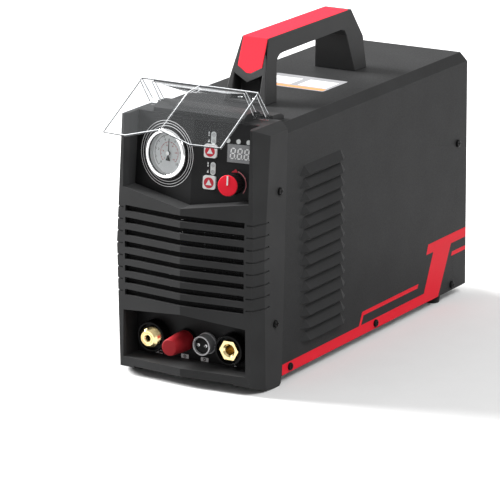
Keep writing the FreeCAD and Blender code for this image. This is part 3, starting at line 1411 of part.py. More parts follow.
def earth_stud():
    """Earthing screw with washer and nut on the rear panel."""
    y = REAR_PANEL_Y + REAR_PANEL_THICK
    stud = rod((EARTH_X, y - 12.0, EARTH_Z), (0, 1, 0), 3.0, 26.0)
    washer = rod((EARTH_X, y, EARTH_Z), (0, 1, 0), 7.0, 1.4)
    nut = hexagon_z((0.0, 0.0, 0.0), 10.0, 5.0)
    nut.rotate(Vector(0, 0, 0), Vector(1, 0, 0), -90.0)
    nut.translate(Vector(EARTH_X, y + 1.4, EARTH_Z))
    return fused([stud, washer, nut])


def bent_tube(points, bend, outer, inner):
    """Tube of straight runs joined by tangent arcs of one bend radius."""
    points = [Vector(*p) for p in points]
    edges = []
    start = points[0]
    for k in range(1, len(points) - 1):
        into = (points[k] - points[k - 1]).normalize()
        away = (points[k + 1] - points[k]).normalize()
        turn = into.getAngle(away)
        reach = bend * math.tan(turn / 2.0)
        first = points[k] - into * reach
        last = points[k] + away * reach
        middle_way = (away - into).normalize()
        middle = points[k] + middle_way * (bend / math.cos(turn / 2.0) - bend)
        edges.append(Part.LineSegment(start, first).toShape())
        edges.append(Part.Arc(first, middle, last).toShape())
        start = last
    edges.append(Part.LineSegment(start, points[-1]).toShape())
    path = Part.Wire(edges)
    heading = (points[1] - points[0]).normalize()
    solids = []
    for radius in (outer, inner):
        circle = Part.Wire(Part.makeCircle(radius, points[0], heading))
        solids.append(path.makePipeShell([circle], True, False))
    return solids[0].cut(solids[1])


def air_hoses():
    """Air hose from the valve to the tee and the thin branch from the tee up to the gauge."""
    start = VALVE_Y[0] - 9.0
    points = [
        (INLET_X, start, INLET_Z),
        (INLET_X, start - 24.0, INLET_Z),
        (INLET_X, start - 60.0, 45.0),
        (30.0, -50.0, 42.0),
        (TORCH_X + 4.0, -70.0, 38.0),
        (TORCH_X, -98.0, PORT_AXIS_Z),
        (TORCH_X, TEE_Y[1], PORT_AXIS_Z),
    ]
    main = bent_tube(points, 14.0, 4.0, HOSE_BORE)
    x, y, z = GAUGE_HOSE_TOP
    points = [
        (TORCH_X, TEE_BRANCH_Y, PORT_AXIS_Z + TEE_RISE),
        (TORCH_X, TEE_BRANCH_Y, 100.0),
        (TORCH_X + 8.0, -123.0, 130.0),
        (x, y, 160.0),
        (x, y, z),
    ]
    return Part.makeCompound([main, bent_tube(points, 20.0, 2.6, HOSE_SMALL_BORE)])


def rear_feet():
    """Moulded rubber feet under the rear corners, each with a screw recess."""
    feet = []
    for x, y in FOOT_POINTS:
        foot = Part.makeCone(6.6, 7.6, FLOOR_Z, Vector(x, y, 0.0), Vector(0, 0, 1))
        recess = rod((x, y, -1.0), (0, 0, 1), 3.6, 4.0)
        hole = rod((x, y, 0.0), (0, 0, 1), SCREW_HOLE_R, 12.0)
        feet.append(cut_all(foot, [recess, hole]))
    return Part.makeCompound(feet)


def machine_screw(at, out):
    """M4 pan-head screw used on the handle, the main board and the rear feet."""
    return pan_screw(at, out, 3.4, 2.2, 2.0, 7.0)


def machine_screws():
    """Handle, board and foot screws."""
    screws = []
    for x in HANDLE_SCREW_XS:
        for y in HANDLE_SCREW_YS:
            screws.append(machine_screw((x, y, COVER_TOP + 3.0), (0, 0, 1)))
    for x, y in POST_POINTS:
        screws.append(machine_screw((x, y, BOARD_Z + BOARD_THICK), (0, 0, 1)))
    for x, y in FOOT_POINTS:
        screws.append(machine_screw((x, y, 3.0), (0, 0, -1)))
    return Part.makeCompound(screws)


def side_screws():
    """Side screws of the cover and the bezel."""
    screws = []
    for y, z in COVER_SCREWS + BEZEL_SCREWS:
        screw = pan_screw((HALF, y, z), (1, 0, 0), 3.6, 2.0, 1.9, 6.0)
        screws += both_sides(screw)
    return Part.makeCompound(screws)


# ---------------------------------------------------------------- export
NODES = (
    outer_cover,
    base_chassis,
    front_bezel,
    hinge_block,
    front_frame,
    rear_panel,
    visor,
    handle_body,
    handle_inlay,
    machine_screws,
    side_screws,
    control_panel,
    indicator_lamps,
    display_module,
    button_upper,
    button_lower,
    control_board,
    potentiometer,
    knob_shaft,
    knob_body,
    knob_cap,
    gauge_case,
    gauge_ring,
    gauge_lens,
    gauge_dial,
    gauge_needle,
    gauge_movement,
    air_fittings,
    connector_plate,
    torch_insulator,
    torch_stud,
    ground_insulator,
    ground_socket,
    post_collar,
    post_stud,
    post_cap,
    pilot_plug_shell,
    pilot_plug_insert,
    main_board,
    board_posts,
    heat_sinks,
    power_devices,
    bulk_capacitors,
    transformer_core,
    transformer_winding,
    output_inductor,
    output_leads,
    fan_frame,
    fan_rotor,
    fan_guard,
    fan_screws,
    power_switch,
    switch_rocker,
    cord_gland,
    air_inlet,
    solenoid_valve,
    valve_coil,
    air_hoses,
    earth_stud,
    rear_feet,
)


def main():
    """Writes every node as its own STEP file."""
    os.makedirs("parts", exist_ok=True)
    for build in NODES:
        shape = build()
        if not shape.isValid() or shape.Volume <= 0.0:
            raise ValueError(build.__name__ + " is not a valid solid")
        shape.exportStep("parts/" + build.__name__ + ".step")


main()
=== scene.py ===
import math

import bmesh
import bpy
from mathutils import Matrix, Vector


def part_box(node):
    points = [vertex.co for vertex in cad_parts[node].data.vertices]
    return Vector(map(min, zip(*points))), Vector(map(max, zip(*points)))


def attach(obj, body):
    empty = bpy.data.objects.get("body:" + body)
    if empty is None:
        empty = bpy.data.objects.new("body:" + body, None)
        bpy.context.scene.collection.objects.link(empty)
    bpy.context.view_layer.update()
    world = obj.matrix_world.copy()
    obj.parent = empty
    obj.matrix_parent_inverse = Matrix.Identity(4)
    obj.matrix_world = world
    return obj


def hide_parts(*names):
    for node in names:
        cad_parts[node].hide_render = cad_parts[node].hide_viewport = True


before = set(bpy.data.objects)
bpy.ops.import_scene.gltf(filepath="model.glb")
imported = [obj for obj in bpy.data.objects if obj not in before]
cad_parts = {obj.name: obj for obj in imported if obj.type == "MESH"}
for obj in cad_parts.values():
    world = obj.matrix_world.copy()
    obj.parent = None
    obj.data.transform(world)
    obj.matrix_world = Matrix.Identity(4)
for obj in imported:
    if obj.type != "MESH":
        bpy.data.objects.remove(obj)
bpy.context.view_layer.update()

# Looks of a portable plasma cutter: powder-coated cover, moulded bezel, clear visor, printed
# panel, brass connectors, red handle inlay and side stripes.
# Metres, +Z up, front towards -Y, +X to the right seen from the front.

MM = 0.001

# ---------------------------------------------------------------- driving dimensions
# control panel: a point of its middle ridge, the turn of each half from it, and the lean of both
PANEL_RIDGE = Vector((0.0, -169.0, 206.0)) * MM
PANEL_YAW = math.radians(6.67)
PANEL_TILT = math.radians(6.5)

# sheet cover, and the sloping seam where it meets the bezel
COVER_SIDE = 75.0 * MM
COVER_TOP = 235.8 * MM
COVER_BOTTOM = 8.0 * MM
COVER_REAR = 203.0 * MM
SEAM_BOTTOM_Y = -142.8 * MM
SEAM_SLOPE = 0.0559

# thickness of stickers and of ink
STICKER = 0.1 * MM
INK = 0.06 * MM
STICKER_SIZE = (76.0 * MM, 46.0 * MM)
STICKER_Y = 17.0 * MM

# gauge: heights over the panel's face, and radii
DIAL_FACE = -3.2 * MM
DIAL_THICK = 0.6 * MM
DIAL_HOLE = 1.2 * MM
NEEDLE_HUB = DIAL_FACE + 2.7 * MM
LENS_BACK = 1.2 * MM
CASE_BORE = 18.8 * MM
DIAL_RADIUS = 18.7 * MM
DIAL_SWEEP = math.radians(270.0)
BLACK_SCALE = 16.3 * MM
RED_SCALE = 9.9 * MM
HUB_RADIUS = 1.85 * MM
HUB_DOME = 1.2 * MM
RING_LINES = (24.4 * MM, 26.7 * MM, 29.0 * MM)
RING_LINE_WIDTH = 0.4 * MM

# faces of the other panel parts over the panel, and the size and places of their print
BUTTON_FACE = 1.9 * MM
BUTTON_DISC = 4.75 * MM
LAMP_FACE = 0.4 * MM
LAMP_PLACES = ((19.9 * MM, 224.3 * MM), (20.4 * MM, 197.3 * MM))
LAMP_SPREAD = 2.9 * MM
DISPLAY_FACE = 0.3 * MM
DIGIT_PITCH = 6.65 * MM
KNOB_POINTER = 14.1 * MM
KNOB_SCALE = (11.3 * MM, 12.1 * MM)
KNOB_SCALE_START = math.radians(-39.0)
KNOB_SCALE_END = math.radians(73.0)

# connector plate: its face and the height of its signs
PORT_FACE_Y = -165.0 * MM
PORT_MARK_Z = 19.0 * MM

# torch stud and the trigger connector's pins
STUD_FRONT_Y = -181.0 * MM
STUD_RADIUS = 9.5 * MM
STUD_SEAT = -10.0 * MM
STUD_BODY_RADIUS = 8.0 * MM
STUD_BODY_END_Y = -138.0 * MM
STUD_BORE = 2.6 * MM
THREAD_PITCH = 1.5 * MM
THREAD_TURNS = 5
THREAD_DEPTH = 0.85 * MM
PIN_SPREAD = 3.9 * MM
PIN_RADIUS = 1.25 * MM

VISOR_HINGE = Vector((0.0, -141.0, 243.4)) * MM
VISOR_OPEN = math.radians(-50.0)
# the shut visor, in plain millimetres: half width, plate, outline (x, y, z) from the top corner down to the
# middle of the lower edge, bend of the middle fold, two lines along each arm (y, z), and the radii and inset
# of the painted highlight and painted shade wires along its edges
VISOR_HALF = 61.0
VISOR_ARM_INNER = 47.4
VISOR_THICK = 2.6
VISOR_MIDDLE_Z = 212.0
VISOR_OUTLINE = (
    (VISOR_HALF, -170.6, 247.6),
    (VISOR_HALF, -171.8, 239.4),
    (VISOR_HALF, -183.5, 176.0),
    (33.5, -188.4, 171.8),
    (0.0, -191.7, 180.4),
)
VISOR_BEND = (0.0, -181.4, 231.6)
VISOR_ARM_LINES = (
    ((-170.2, 244.6), (-167.6, 244.2), (-143.0, 241.8)),
    ((-170.6, 247.6), (-142.0, 246.6)),
)
RIM_HIGHLIGHT_WIRE = 0.34
SHADE_WIRE = 0.52
RIM_INSET = 0.45
# share of a layer's depth by which an arm's line shifts, and an arm wire's size beside the outline's
ARM_SHIFT = 0.3
ARM_WIRE = 0.8

# dust screen behind the vent slots, row by row in plain millimetres: height, y of its ridge, y of its sides
SCREEN_ROWS = ((70.5, -188.3, -182.0), (123.0, -187.4, -180.8), (160.0, -185.9, -178.7))
SCREEN_HALF = 62.0 * MM
SCREEN_PITCH = 1.5 * MM
# wires nearly as wide as their pitch: the screen is close to a dark sheet, partly a real screen and partly
# painted shade for the dark inside behind the slots
SCREEN_WIRE = 1.2 * MM
SCREEN_DEPTH = 0.2 * MM

# fan and its wire guard: ring radii, wire radius, inner and outer radius of an eye, screw spacing
GUARD_RINGS = (14.0 * MM, 26.0 * MM, 38.0 * MM, 50.0 * MM)
GUARD_WIRE = 0.8 * MM
GUARD_EYE = (2.3 * MM, 4.5 * MM)
FAN_Z = 163.0 * MM
FAN_PITCH = 105.0 * MM
REAR_FACE_Y = 200.0 * MM

# width of the rounded edges by slot
EDGE_WIDTH = {
    "cover_paint": 0.5 * MM,
    "bezel_plastic": 0.45 * MM,
    "handle_plastic": 0.9 * MM,
    "red_plastic": 0.5 * MM,
    "visor_clear": 0.7 * MM,
    "knob_plastic": 0.25 * MM,
    "button_plastic": 0.4 * MM,
    "panel_face": 0.3 * MM,
    "screw_black": 0.2 * MM,
    "brass": 0.25 * MM,
}
PLAIN_EDGE = 0.2 * MM

# brightness of the surroundings by height, from straight down (0) over the horizon (0.5) to straight up (1)
SKY = ((0.0, 0.08), (0.46, 0.12), (0.49, 0.4), (0.7, 0.55), (1.0, 0.9))
# soft lamps: name, direction towards the lamp, strength
LAMPS = (
    ("key_light", (-0.9, -0.1, 0.45), 10.5),
    ("side_light", (0.6, -0.05, 0.8), 1.9),
)
LAMP_ANGLE = math.radians(25.0)
FLOOR_RADIUS = 60.0
CAMERA_PLACE = (1.692857, -2.837453, 1.004174)
CAMERA_AZIMUTH = math.radians(31.48)
CAMERA_PITCH = math.radians(15.63)
CAMERA_ROLL = math.radians(-0.354)
CAMERA_LENS = 266.4
CAMERA_SENSOR = 36.0

# edges under this angle keep no rounding
BEVELLED = math.radians(12.0)
# an edge sharper than this is a real corner: less on folded sheet and faceted mouldings
SHARP = math.radians(32.0)
FOLD = math.radians(8.0)
FOLDED_NODES = (
    "outer_cover", "front_bezel", "handle_body", "handle_inlay", "hinge_block", "visor",
    "rear_panel", "front_frame", "base_chassis", "control_panel", "connector_plate", "switch_rocker",
)


# ---------------------------------------------------------------- materials
class Graph:
    """A material's nodes, added one at a time around one output."""

    def __init__(self, name):
        self.material = bpy.data.materials.new(name)
        self.material.use_nodes = True
        self.tree = self.material.node_tree
        self.tree.nodes.clear()
        self.output = self.add("ShaderNodeOutputMaterial")
        self.place = self.add("ShaderNodeTexCoord").outputs["Object"]

    def add(self, kind, **inputs):
        node = self.tree.nodes.new(kind)
        for name, value in inputs.items():
            node.inputs[name.replace("_", " ")].default_value = value
        return node

    def link(self, source, target):
        self.tree.links.new(source, target)

    def stretched(self, scale):
        """Object coordinates, stretched by three factors."""
        node = self.add("ShaderNodeMapping", Scale=scale)
        self.link(self.place, node.inputs["Vector"])
        return node.outputs["Vector"]

    def noise(self, scale, detail=3.0, place=None):
        node = self.add("ShaderNodeTexNoise", Scale=scale, Detail=detail)
        self.link(place or self.place, node.inputs["Vector"])
        return node.outputs["Fac"]

    def ramp(self, value, low, high, start=0.3, stop=0.7):
        """Colours between low and high as value goes from start to stop."""
        node = self.add("ShaderNodeValToRGB")
        node.color_ramp.elements[0].position = start
        node.color_ramp.elements[1].position = stop
        node.color_ramp.elements[0].color = (*low, 1.0)
        node.color_ramp.elements[1].color = (*high, 1.0)
        self.link(value, node.inputs["Fac"])
        return node.outputs["Color"]

    def spread(self, value, low, high):
        """Value between 0.3 and 0.7 mapped to the range from low to high."""
        node = self.add("ShaderNodeMapRange")
        for name, number in (("From Min", 0.3), ("From Max", 0.7), ("To Min", low), ("To Max", high)):
            node.inputs[name].default_value = number
        self.link(value, node.inputs["Value"])
        return node.outputs["Result"]

    def bump(self, height, depth, strength=1.0):
        node = self.add("ShaderNodeBump", Distance=depth, Strength=strength)
        self.link(height, node.inputs["Height"])
        return node.outputs["Normal"]


def scaled(colour, factor):
    return tuple(min(1.0, c * factor) for c in colour)


def solid_finish(name, colour, roughness, vary=0.1, grain=900.0, depth=0.0, metallic=0.0, specular=0.4,
                 coat=0.0, blotch=28.0, stretch=None, painted_glow=0.0):
    """Opaque finish: mottled colour, uneven gloss, fine grain and, for pale prints, a painted glow that
    brightens them beyond their lamps.
    """
    g = Graph(name)
    shader = g.add("ShaderNodeBsdfPrincipled", Metallic=metallic, Coat_Weight=coat, Coat_Roughness=0.15)
    shader.inputs["Specular IOR Level"].default_value = specular
    place = g.stretched(stretch) if stretch else g.place
    mottle = g.noise(blotch, 5.0)
    fine = g.noise(grain, 2.0, place)
    paint = g.ramp(mottle, scaled(colour, 1.0 - vary), scaled(colour, 1.0 + vary))
    g.link(paint, shader.inputs["Base Color"])
    if painted_glow:
        g.link(paint, shader.inputs["Emission Color"])
        shader.inputs["Emission Strength"].default_value = painted_glow
    g.link(g.spread(fine, roughness * 0.85, min(1.0, roughness * 1.15)), shader.inputs["Roughness"])
    if depth:
        g.link(g.bump(fine, depth), shader.inputs["Normal"])
    g.link(shader.outputs["BSDF"], g.output.inputs["Surface"])
    return g.material


def clear_finish(name, tint, gloss, haze, roughness):
    """Thin clear plastic or glass: a see-through film with a sheen that grows at grazing angles."""
    g = Graph(name)
    film = g.add("ShaderNodeBsdfTransparent")
    g.link(g.ramp(g.noise(35.0), scaled(tint, 0.985), tint), film.inputs["Color"])
    sheen = g.add("ShaderNodeBsdfGlossy")
    g.link(g.spread(g.noise(260.0, 4.0), roughness * 0.7, roughness * 1.3), sheen.inputs["Roughness"])
    milky = g.add("ShaderNodeBsdfDiffuse", Color=(0.8, 0.83, 0.84, 1.0))
    facing = g.add("ShaderNodeFresnel", IOR=gloss)
    g.link(g.bump(g.noise(90.0), 0.02 * MM), facing.inputs["Normal"])
    cloudy = g.add("ShaderNodeMixShader", Fac=haze)
    g.link(film.outputs["BSDF"], cloudy.inputs[1])
    g.link(milky.outputs["BSDF"], cloudy.inputs[2])
    mixed = g.add("ShaderNodeMixShader")
    g.link(facing.outputs["Fac"], mixed.inputs["Fac"])
    g.link(cloudy.outputs["Shader"], mixed.inputs[1])
    g.link(sheen.outputs["BSDF"], mixed.inputs[2])
    g.link(mixed.outputs["Shader"], g.output.inputs["Surface"])
    return g.material


def rim_finish(name):
    """Polished edge of clear plastic: glass that bends the light, mixed with a pale glowing surface, a
    painted highlight for the light the edge catches.
    """
    g = Graph(name)
    glass = g.add("ShaderNodeBsdfGlass", Roughness=0.04, IOR=1.49)
    g.link(g.ramp(g.noise(60.0), (0.9, 0.92, 0.93), (0.98, 0.99, 1.0)), glass.inputs["Color"])
    frost_with_glow = g.add("ShaderNodeBsdfPrincipled", Roughness=0.5, Emission_Strength=0.35)
    for name in ("Base Color", "Emission Color"):
        frost_with_glow.inputs[name].default_value = (0.95, 0.96, 0.97, 1.0)
    mixed = g.add("ShaderNodeMixShader")
    g.link(g.spread(g.noise(420.0), 0.6, 0.95), mixed.inputs["Fac"])
    g.link(glass.outputs["BSDF"], mixed.inputs[1])
    g.link(frost_with_glow.outputs["BSDF"], mixed.inputs[2])
    g.link(mixed.outputs["Shader"], g.output.inputs["Surface"])
    return g.material


# slot: colour, roughness, then what differs from the plain finish
FINISHES = {
    "cover_paint": ((0.025, 0.0252, 0.0257), 0.55, dict(grain=1300.0, depth=0.05 * MM, specular=0.12)),
    "zinc_steel": ((0.55, 0.56, 0.57), 0.35, dict(metallic=1.0, vary=0.08, blotch=90.0, depth=0.01 * MM)),
    "bezel_plastic": ((0.04, 0.0402, 0.0407), 0.5, dict(grain=2200.0, depth=0.03 * MM, specular=0.08)),
    "handle_plastic": ((0.029, 0.0292, 0.0296), 0.5, dict(grain=1800.0, depth=0.04 * MM, specular=0.2)),
    "red_plastic": ((0.88, 0.018, 0.04), 0.5, dict(vary=0.04, grain=1500.0, depth=0.01 * MM, specular=0.15)),
    "screw_black": ((0.005, 0.005, 0.0052), 0.3, dict(grain=2000.0, depth=0.01 * MM, specular=0.1)),
    "screw_zinc": ((0.66, 0.67, 0.68), 0.25, dict(metallic=1.0, vary=0.06, blotch=200.0)),
    "panel_face": ((0.011, 0.011, 0.0115), 0.42, dict(grain=2600.0, depth=0.01 * MM, specular=0.12)),
    "lamp_lens": ((0.62, 0.64, 0.63), 0.3, dict(vary=0.05, grain=1200.0, depth=0.02 * MM)),
    "display_face": ((0.17, 0.175, 0.18), 0.25, dict(vary=0.08, coat=0.5)),
    "button_plastic": ((0.80, 0.80, 0.79), 0.4, dict(vary=0.03, grain=1500.0, depth=0.01 * MM)),
    "board_green": ((0.02, 0.12, 0.05), 0.4, dict(vary=0.25, blotch=160.0, coat=0.3)),
    "steel": ((0.5, 0.5, 0.51), 0.3, dict(metallic=1.0, vary=0.08, stretch=(1.0, 12.0, 1.0))),
    "knob_plastic": ((0.012, 0.012, 0.0125), 0.4, dict(grain=1600.0, depth=0.02 * MM)),
    "gauge_black": ((0.02, 0.02, 0.02), 0.35, dict(coat=0.3)),
    "gauge_chrome": ((0.95, 0.952, 0.955), 0.16, dict(metallic=1.0, vary=0.03, blotch=120.0)),
    # the dial's glow is painted light that lifts it out of the recess's shade
    "dial_white": ((0.8, 0.8, 0.81), 0.5, dict(vary=0.06, blotch=120.0, grain=2500.0, painted_glow=0.2)),
    "needle_black": ((0.02, 0.02, 0.022), 0.4, dict(vary=0.1)),
    "brass": ((0.82, 0.66, 0.34), 0.24, dict(metallic=1.0, vary=0.12, blotch=180.0, grain=900.0,
                                             depth=0.008 * MM, stretch=(1.0, 9.0, 1.0))),
    "black_insulator": ((0.006, 0.006, 0.0062), 0.3, dict(grain=1400.0, depth=0.01 * MM, specular=0.08)),
    "aluminium": ((0.62, 0.63, 0.64), 0.32, dict(metallic=1.0, stretch=(1.0, 0.08, 1.0), depth=0.01 * MM)),
    "copper": ((0.66, 0.3, 0.17), 0.28, dict(metallic=1.0, vary=0.15, blotch=120.0)),
    "ferrite": ((0.05, 0.05, 0.052), 0.6, dict(vary=0.2, depth=0.04 * MM)),
    "tape_yellow": ((0.62, 0.42, 0.05), 0.35, dict(vary=0.08, coat=0.3)),
    "capacitor_sleeve": ((0.02, 0.025, 0.06), 0.25, dict(vary=0.1, coat=0.5)),
    "fan_plastic": ((0.015, 0.015, 0.0155), 0.45, dict(grain=1500.0, depth=0.02 * MM)),
    "rubber": ((0.016, 0.016, 0.016), 0.75, dict(grain=900.0, depth=0.05 * MM, specular=0.25)),
    "hose_blue": ((0.03, 0.1, 0.45), 0.2, dict(vary=0.06, coat=0.4)),
}
SOLID_EXTRAS = {
    "red_print": ((0.88, 0.016, 0.035), 0.5, dict(vary=0.04, grain=1600.0, specular=0.15)),
    "white_print": ((0.82, 0.82, 0.82), 0.4, dict(vary=0.03, grain=1800.0)),
    "grey_print": ((0.3, 0.3, 0.31), 0.45, dict(vary=0.06, grain=1800.0)),
    "black_print": ((0.02, 0.02, 0.022), 0.45, dict(vary=0.1, grain=1800.0)),
    "pink_print": ((0.62, 0.2, 0.22), 0.4, dict(vary=0.06, grain=1800.0)),
    "dark_red_print": ((0.5, 0.012, 0.03), 0.35, dict(vary=0.05, grain=1600.0)),
    "orange_print": ((0.8, 0.3, 0.1), 0.4, dict(vary=0.04, grain=1600.0)),
    # pale ink with a painted glow, for the gauge circles
    "pale_print_with_glow": ((0.7, 0.7, 0.71), 0.4, dict(vary=0.04, grain=1800.0, painted_glow=0.25)),
    "post_red": ((0.32, 0.012, 0.018), 0.6, dict(vary=0.08, grain=1200.0, depth=0.02 * MM, specular=0.2)),
    "shell_grey": ((0.5, 0.5, 0.51), 0.35, dict(metallic=0.25, vary=0.1, grain=1200.0)),
    # pale metal with a painted glow, for the trigger pin ends and the needle hub
    "glowing_pin": ((0.9, 0.9, 0.9), 0.3, dict(vary=0.03, grain=1200.0, painted_glow=0.5)),
    # dark wires for the painted shade lines inside the visor's edges
    "rim_shade": ((0.05, 0.052, 0.055), 0.3, dict(vary=0.3, blotch=120.0)),
    "screen_black": ((0.006, 0.006, 0.0062), 0.7, dict(vary=0.2, grain=1500.0, specular=0.1)),
    "lit_segment": ((0.8, 0.8, 0.8), 0.3, dict(vary=0.03, grain=1800.0)),
}
# lighter, glossier copies of the dark finishes for the rounded edges: partly real wear, partly a painted
# highlight along the edges
WORN_AND_HIGHLIT_EDGE = {"cover_paint": 1.5, "bezel_plastic": 1.35, "handle_plastic": 1.4, "panel_face": 1.5}
# nodes whose looks differ from the rest of their slot
NODE_FINISH = {"post_cap": "post_red", "pilot_plug_shell": "shell_grey"}


def make_materials():
    """Every finish by its slot or print name, with lighter edge copies of the dark ones: partly wear, partly
    painted highlight.
    """
    made = {}
    for name, (colour, roughness, extra) in {**FINISHES, **SOLID_EXTRAS}.items():
        made[name] = solid_finish(name + "_finish", colour, roughness, **extra)
        if name in WORN_AND_HIGHLIT_EDGE:
            worn_and_highlit = scaled(colour, WORN_AND_HIGHLIT_EDGE[name])
            made[name + "_edge"] = solid_finish(name + "_edge_finish", worn_and_highlit, roughness * 0.8, **extra)
    made["visor_clear"] = clear_finish("visor_clear_finish", (0.975, 0.98, 0.985), 1.08, 0.012, 0.08)
    made["visor_clear_edge"] = rim_finish("visor_rim_finish")
    made["gauge_glass"] = clear_finish("gauge_glass_finish", (0.97, 0.98, 0.98), 1.15, 0.0, 0.03)
    return made


# ---------------------------------------------------------------- modifiers
def angle_normals_group(limit):
    """Geometry nodes that join doubled corners and keep only corners over a limit sharp."""
    group = bpy.data.node_groups.new("angle_normals", "GeometryNodeTree")
    group.interface.new_socket("Geometry", in_out="INPUT", socket_type="NodeSocketGeometry")
    group.interface.new_socket("Geometry", in_out="OUTPUT", socket_type="NodeSocketGeometry")
    start = group.nodes.new("NodeGroupInput")
    stop = group.nodes.new("NodeGroupOutput")
    merge = group.nodes.new("GeometryNodeMergeByDistance")
    merge.inputs["Distance"].default_value = 0.002 * MM
    angle = group.nodes.new("GeometryNodeInputMeshEdgeAngle")
    corner = group.nodes.new("ShaderNodeMath")
    corner.operation = "GREATER_THAN"
    corner.inputs[1].default_value = limit
    normals = group.nodes.new("GeometryNodeSetMeshNormal")
    normals.mode = "SHARPNESS"
    normals.inputs["Remove Custom"].default_value = True
    group.links.new(start.outputs[0], merge.inputs["Geometry"])
    group.links.new(merge.outputs["Geometry"], normals.inputs["Mesh"])
    group.links.new(angle.outputs["Unsigned Angle"], corner.inputs[0])
    group.links.new(corner.outputs[0], normals.inputs["Edge Sharpness"])
    group.links.new(normals.outputs["Mesh"], stop.inputs[0])
    return group


ANGLE_NORMALS = {limit: angle_normals_group(limit) for limit in (SHARP, FOLD)}


def add_normals(obj, limit=SHARP):
    modifier = obj.modifiers.new("angle_normals", "NODES")
    modifier.node_group = ANGLE_NORMALS[limit]


def add_edges(obj, width, own_material, angle=SHARP):
    """Small rounded edges, in the piece's second material where it has one."""
    bevel = obj.modifiers.new("rounded_edges", "BEVEL")
    bevel.width = width
    bevel.segments = 2
    bevel.limit_method = "ANGLE"
    bevel.angle_limit = angle
    bevel.harden_normals = True
    bevel.use_clamp_overlap = True
    if own_material:
        bevel.material = 1


# ---------------------------------------------------------------- drawing on faces
def face_frame(origin, across, up):
    """Matrix of a drawing plane: x across, y up, z outwards."""
    across = Vector(across).normalized()
    up = Vector(up).normalized()
    out = across.cross(up)
    columns = (across, up, out, Vector(origin))
    rows = [[c[i] for c in columns] for i in range(3)]
    return Matrix(rows + [[0.0, 0.0, 0.0, 1.0]])


def panel_face(side):
    """Drawing plane of the right (+1) or left (-1) half of the V-shaped panel."""
    turn = Matrix.Rotation(side * PANEL_YAW, 3, "Z") @ Matrix.Rotation(-PANEL_TILT, 3, "X")
    return face_frame(PANEL_RIDGE, turn @ Vector((1, 0, 0)), turn @ Vector((0, 0, 1)))


def centre_of(node):
    low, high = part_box(node)
    return (low + high) / 2


def panel_spot(point, side):
    """Drawing plane of a panel half, moved to where a point stands over it."""
    face = panel_face(side)
    local = face.inverted() @ point
    return face @ Matrix.Translation((local.x, local.y, 0.0))


def at_panel(x, z, side):
    """Drawing plane at a place on the panel given by its x and height."""
    face = panel_face(side)
    out = face.col[2].to_3d()
    ridge = face.col[3].to_3d()
    y = ridge.y - (out.x * (x - ridge.x) + out.z * (z - ridge.z)) / out.y
    return panel_spot(Vector((x, y, z)), side)


def rectangle(centre, size):
    left = centre[0] - size[0] / 2
    low = centre[1] - size[1] / 2
    right = centre[0] + size[0] / 2
    high = centre[1] + size[1] / 2
    return [(left, low), (right, low), (right, high), (left, high)]


def polar(centre, radius, angle):
    return centre[0] + radius * math.cos(angle), centre[1] + radius * math.sin(angle)


def circle(centre, radius, count=48):
    return [polar(centre, radius, 2 * math.pi * k / count) for k in range(count)]


def rounded_rectangle(centre, size, radius, count=6):
    """Outline with quarter circles at its corners."""
    points = []
    for k, (sx, sy) in enumerate(((1, 1), (-1, 1), (-1, -1), (1, -1))):
        corner = (centre[0] + sx * (size[0] / 2 - radius), centre[1] + sy * (size[1] / 2 - radius))
        for j in range(count + 1):
            points.append(polar(corner, radius, math.pi / 2 * (k + j / count)))
    return points


def add_plate(bm, outline, place, low, high):
    """Flat plate with an outline, between two heights over its drawing plane."""
    bottom = [bm.verts.new(place @ Vector((x, y, low))) for x, y in outline]
    top = [bm.verts.new(place @ Vector((x, y, high))) for x, y in outline]
    count = len(outline)
    bm.faces.new(bottom[::-1])
    bm.faces.new(top)
    for k in range(count):
        j = (k + 1) % count
        bm.faces.new((bottom[k], bottom[j], top[j], top[k]))


def add_band(bm, centre, radii, angles, place, low, high, count=48):
    """Flat ring or arc between two radii and two angles."""
    whole = abs(angles[1] - angles[0]) > 2 * math.pi - 1e-6
    stations = count if whole else count + 1
    loops = []
    for k in range(stations):
        angle = angles[0] + (angles[1] - angles[0]) * k / count
        inner = polar(centre, radii[0], angle)
        outer = polar(centre, radii[1], angle)
        corners = [(*inner, low), (*outer, low), (*outer, high), (*inner, high)]
        loops.append([bm.verts.new(place @ Vector(c)) for c in corners])
    join_loops(bm, loops, whole)


def join_loops(bm, loops, whole):
    """Skin over a row of equal loops, closed on itself or capped at its ends."""
    size = len(loops[0])
    pairs = list(zip(loops, loops[1:]))
    if whole:
        pairs.append((loops[-1], loops[0]))
    for a, b in pairs:
        for k in range(size):
            j = (k + 1) % size
            bm.faces.new((a[k], b[k], b[j], a[j]))
    if not whole:
        bm.faces.new(loops[0])
        bm.faces.new(loops[-1][::-1])


def add_turned(bm, stations, place, count=64, closed=True):
    """Turned body: stations of (height, radius), where a radius may be a function of the angle."""
    loops = []
    for height, radius in stations:
        loop = []
        for k in range(count):
            angle = 2 * math.pi * k / count
            r = radius(angle) if callable(radius) else radius
            loop.append(bm.verts.new(place @ Vector((*polar((0, 0), r, angle), height))))
        loops.append(loop)
    pairs = list(zip(loops, loops[1:]))
    if closed:
        pairs.append((loops[-1], loops[0]))
    for a, b in pairs:
        for k in range(count):
            j = (k + 1) % count
            bm.faces.new((a[k], a[j], b[j], b[k]))
    if not closed:
        bm.faces.new(loops[0][::-1])
        bm.faces.new(loops[-1])


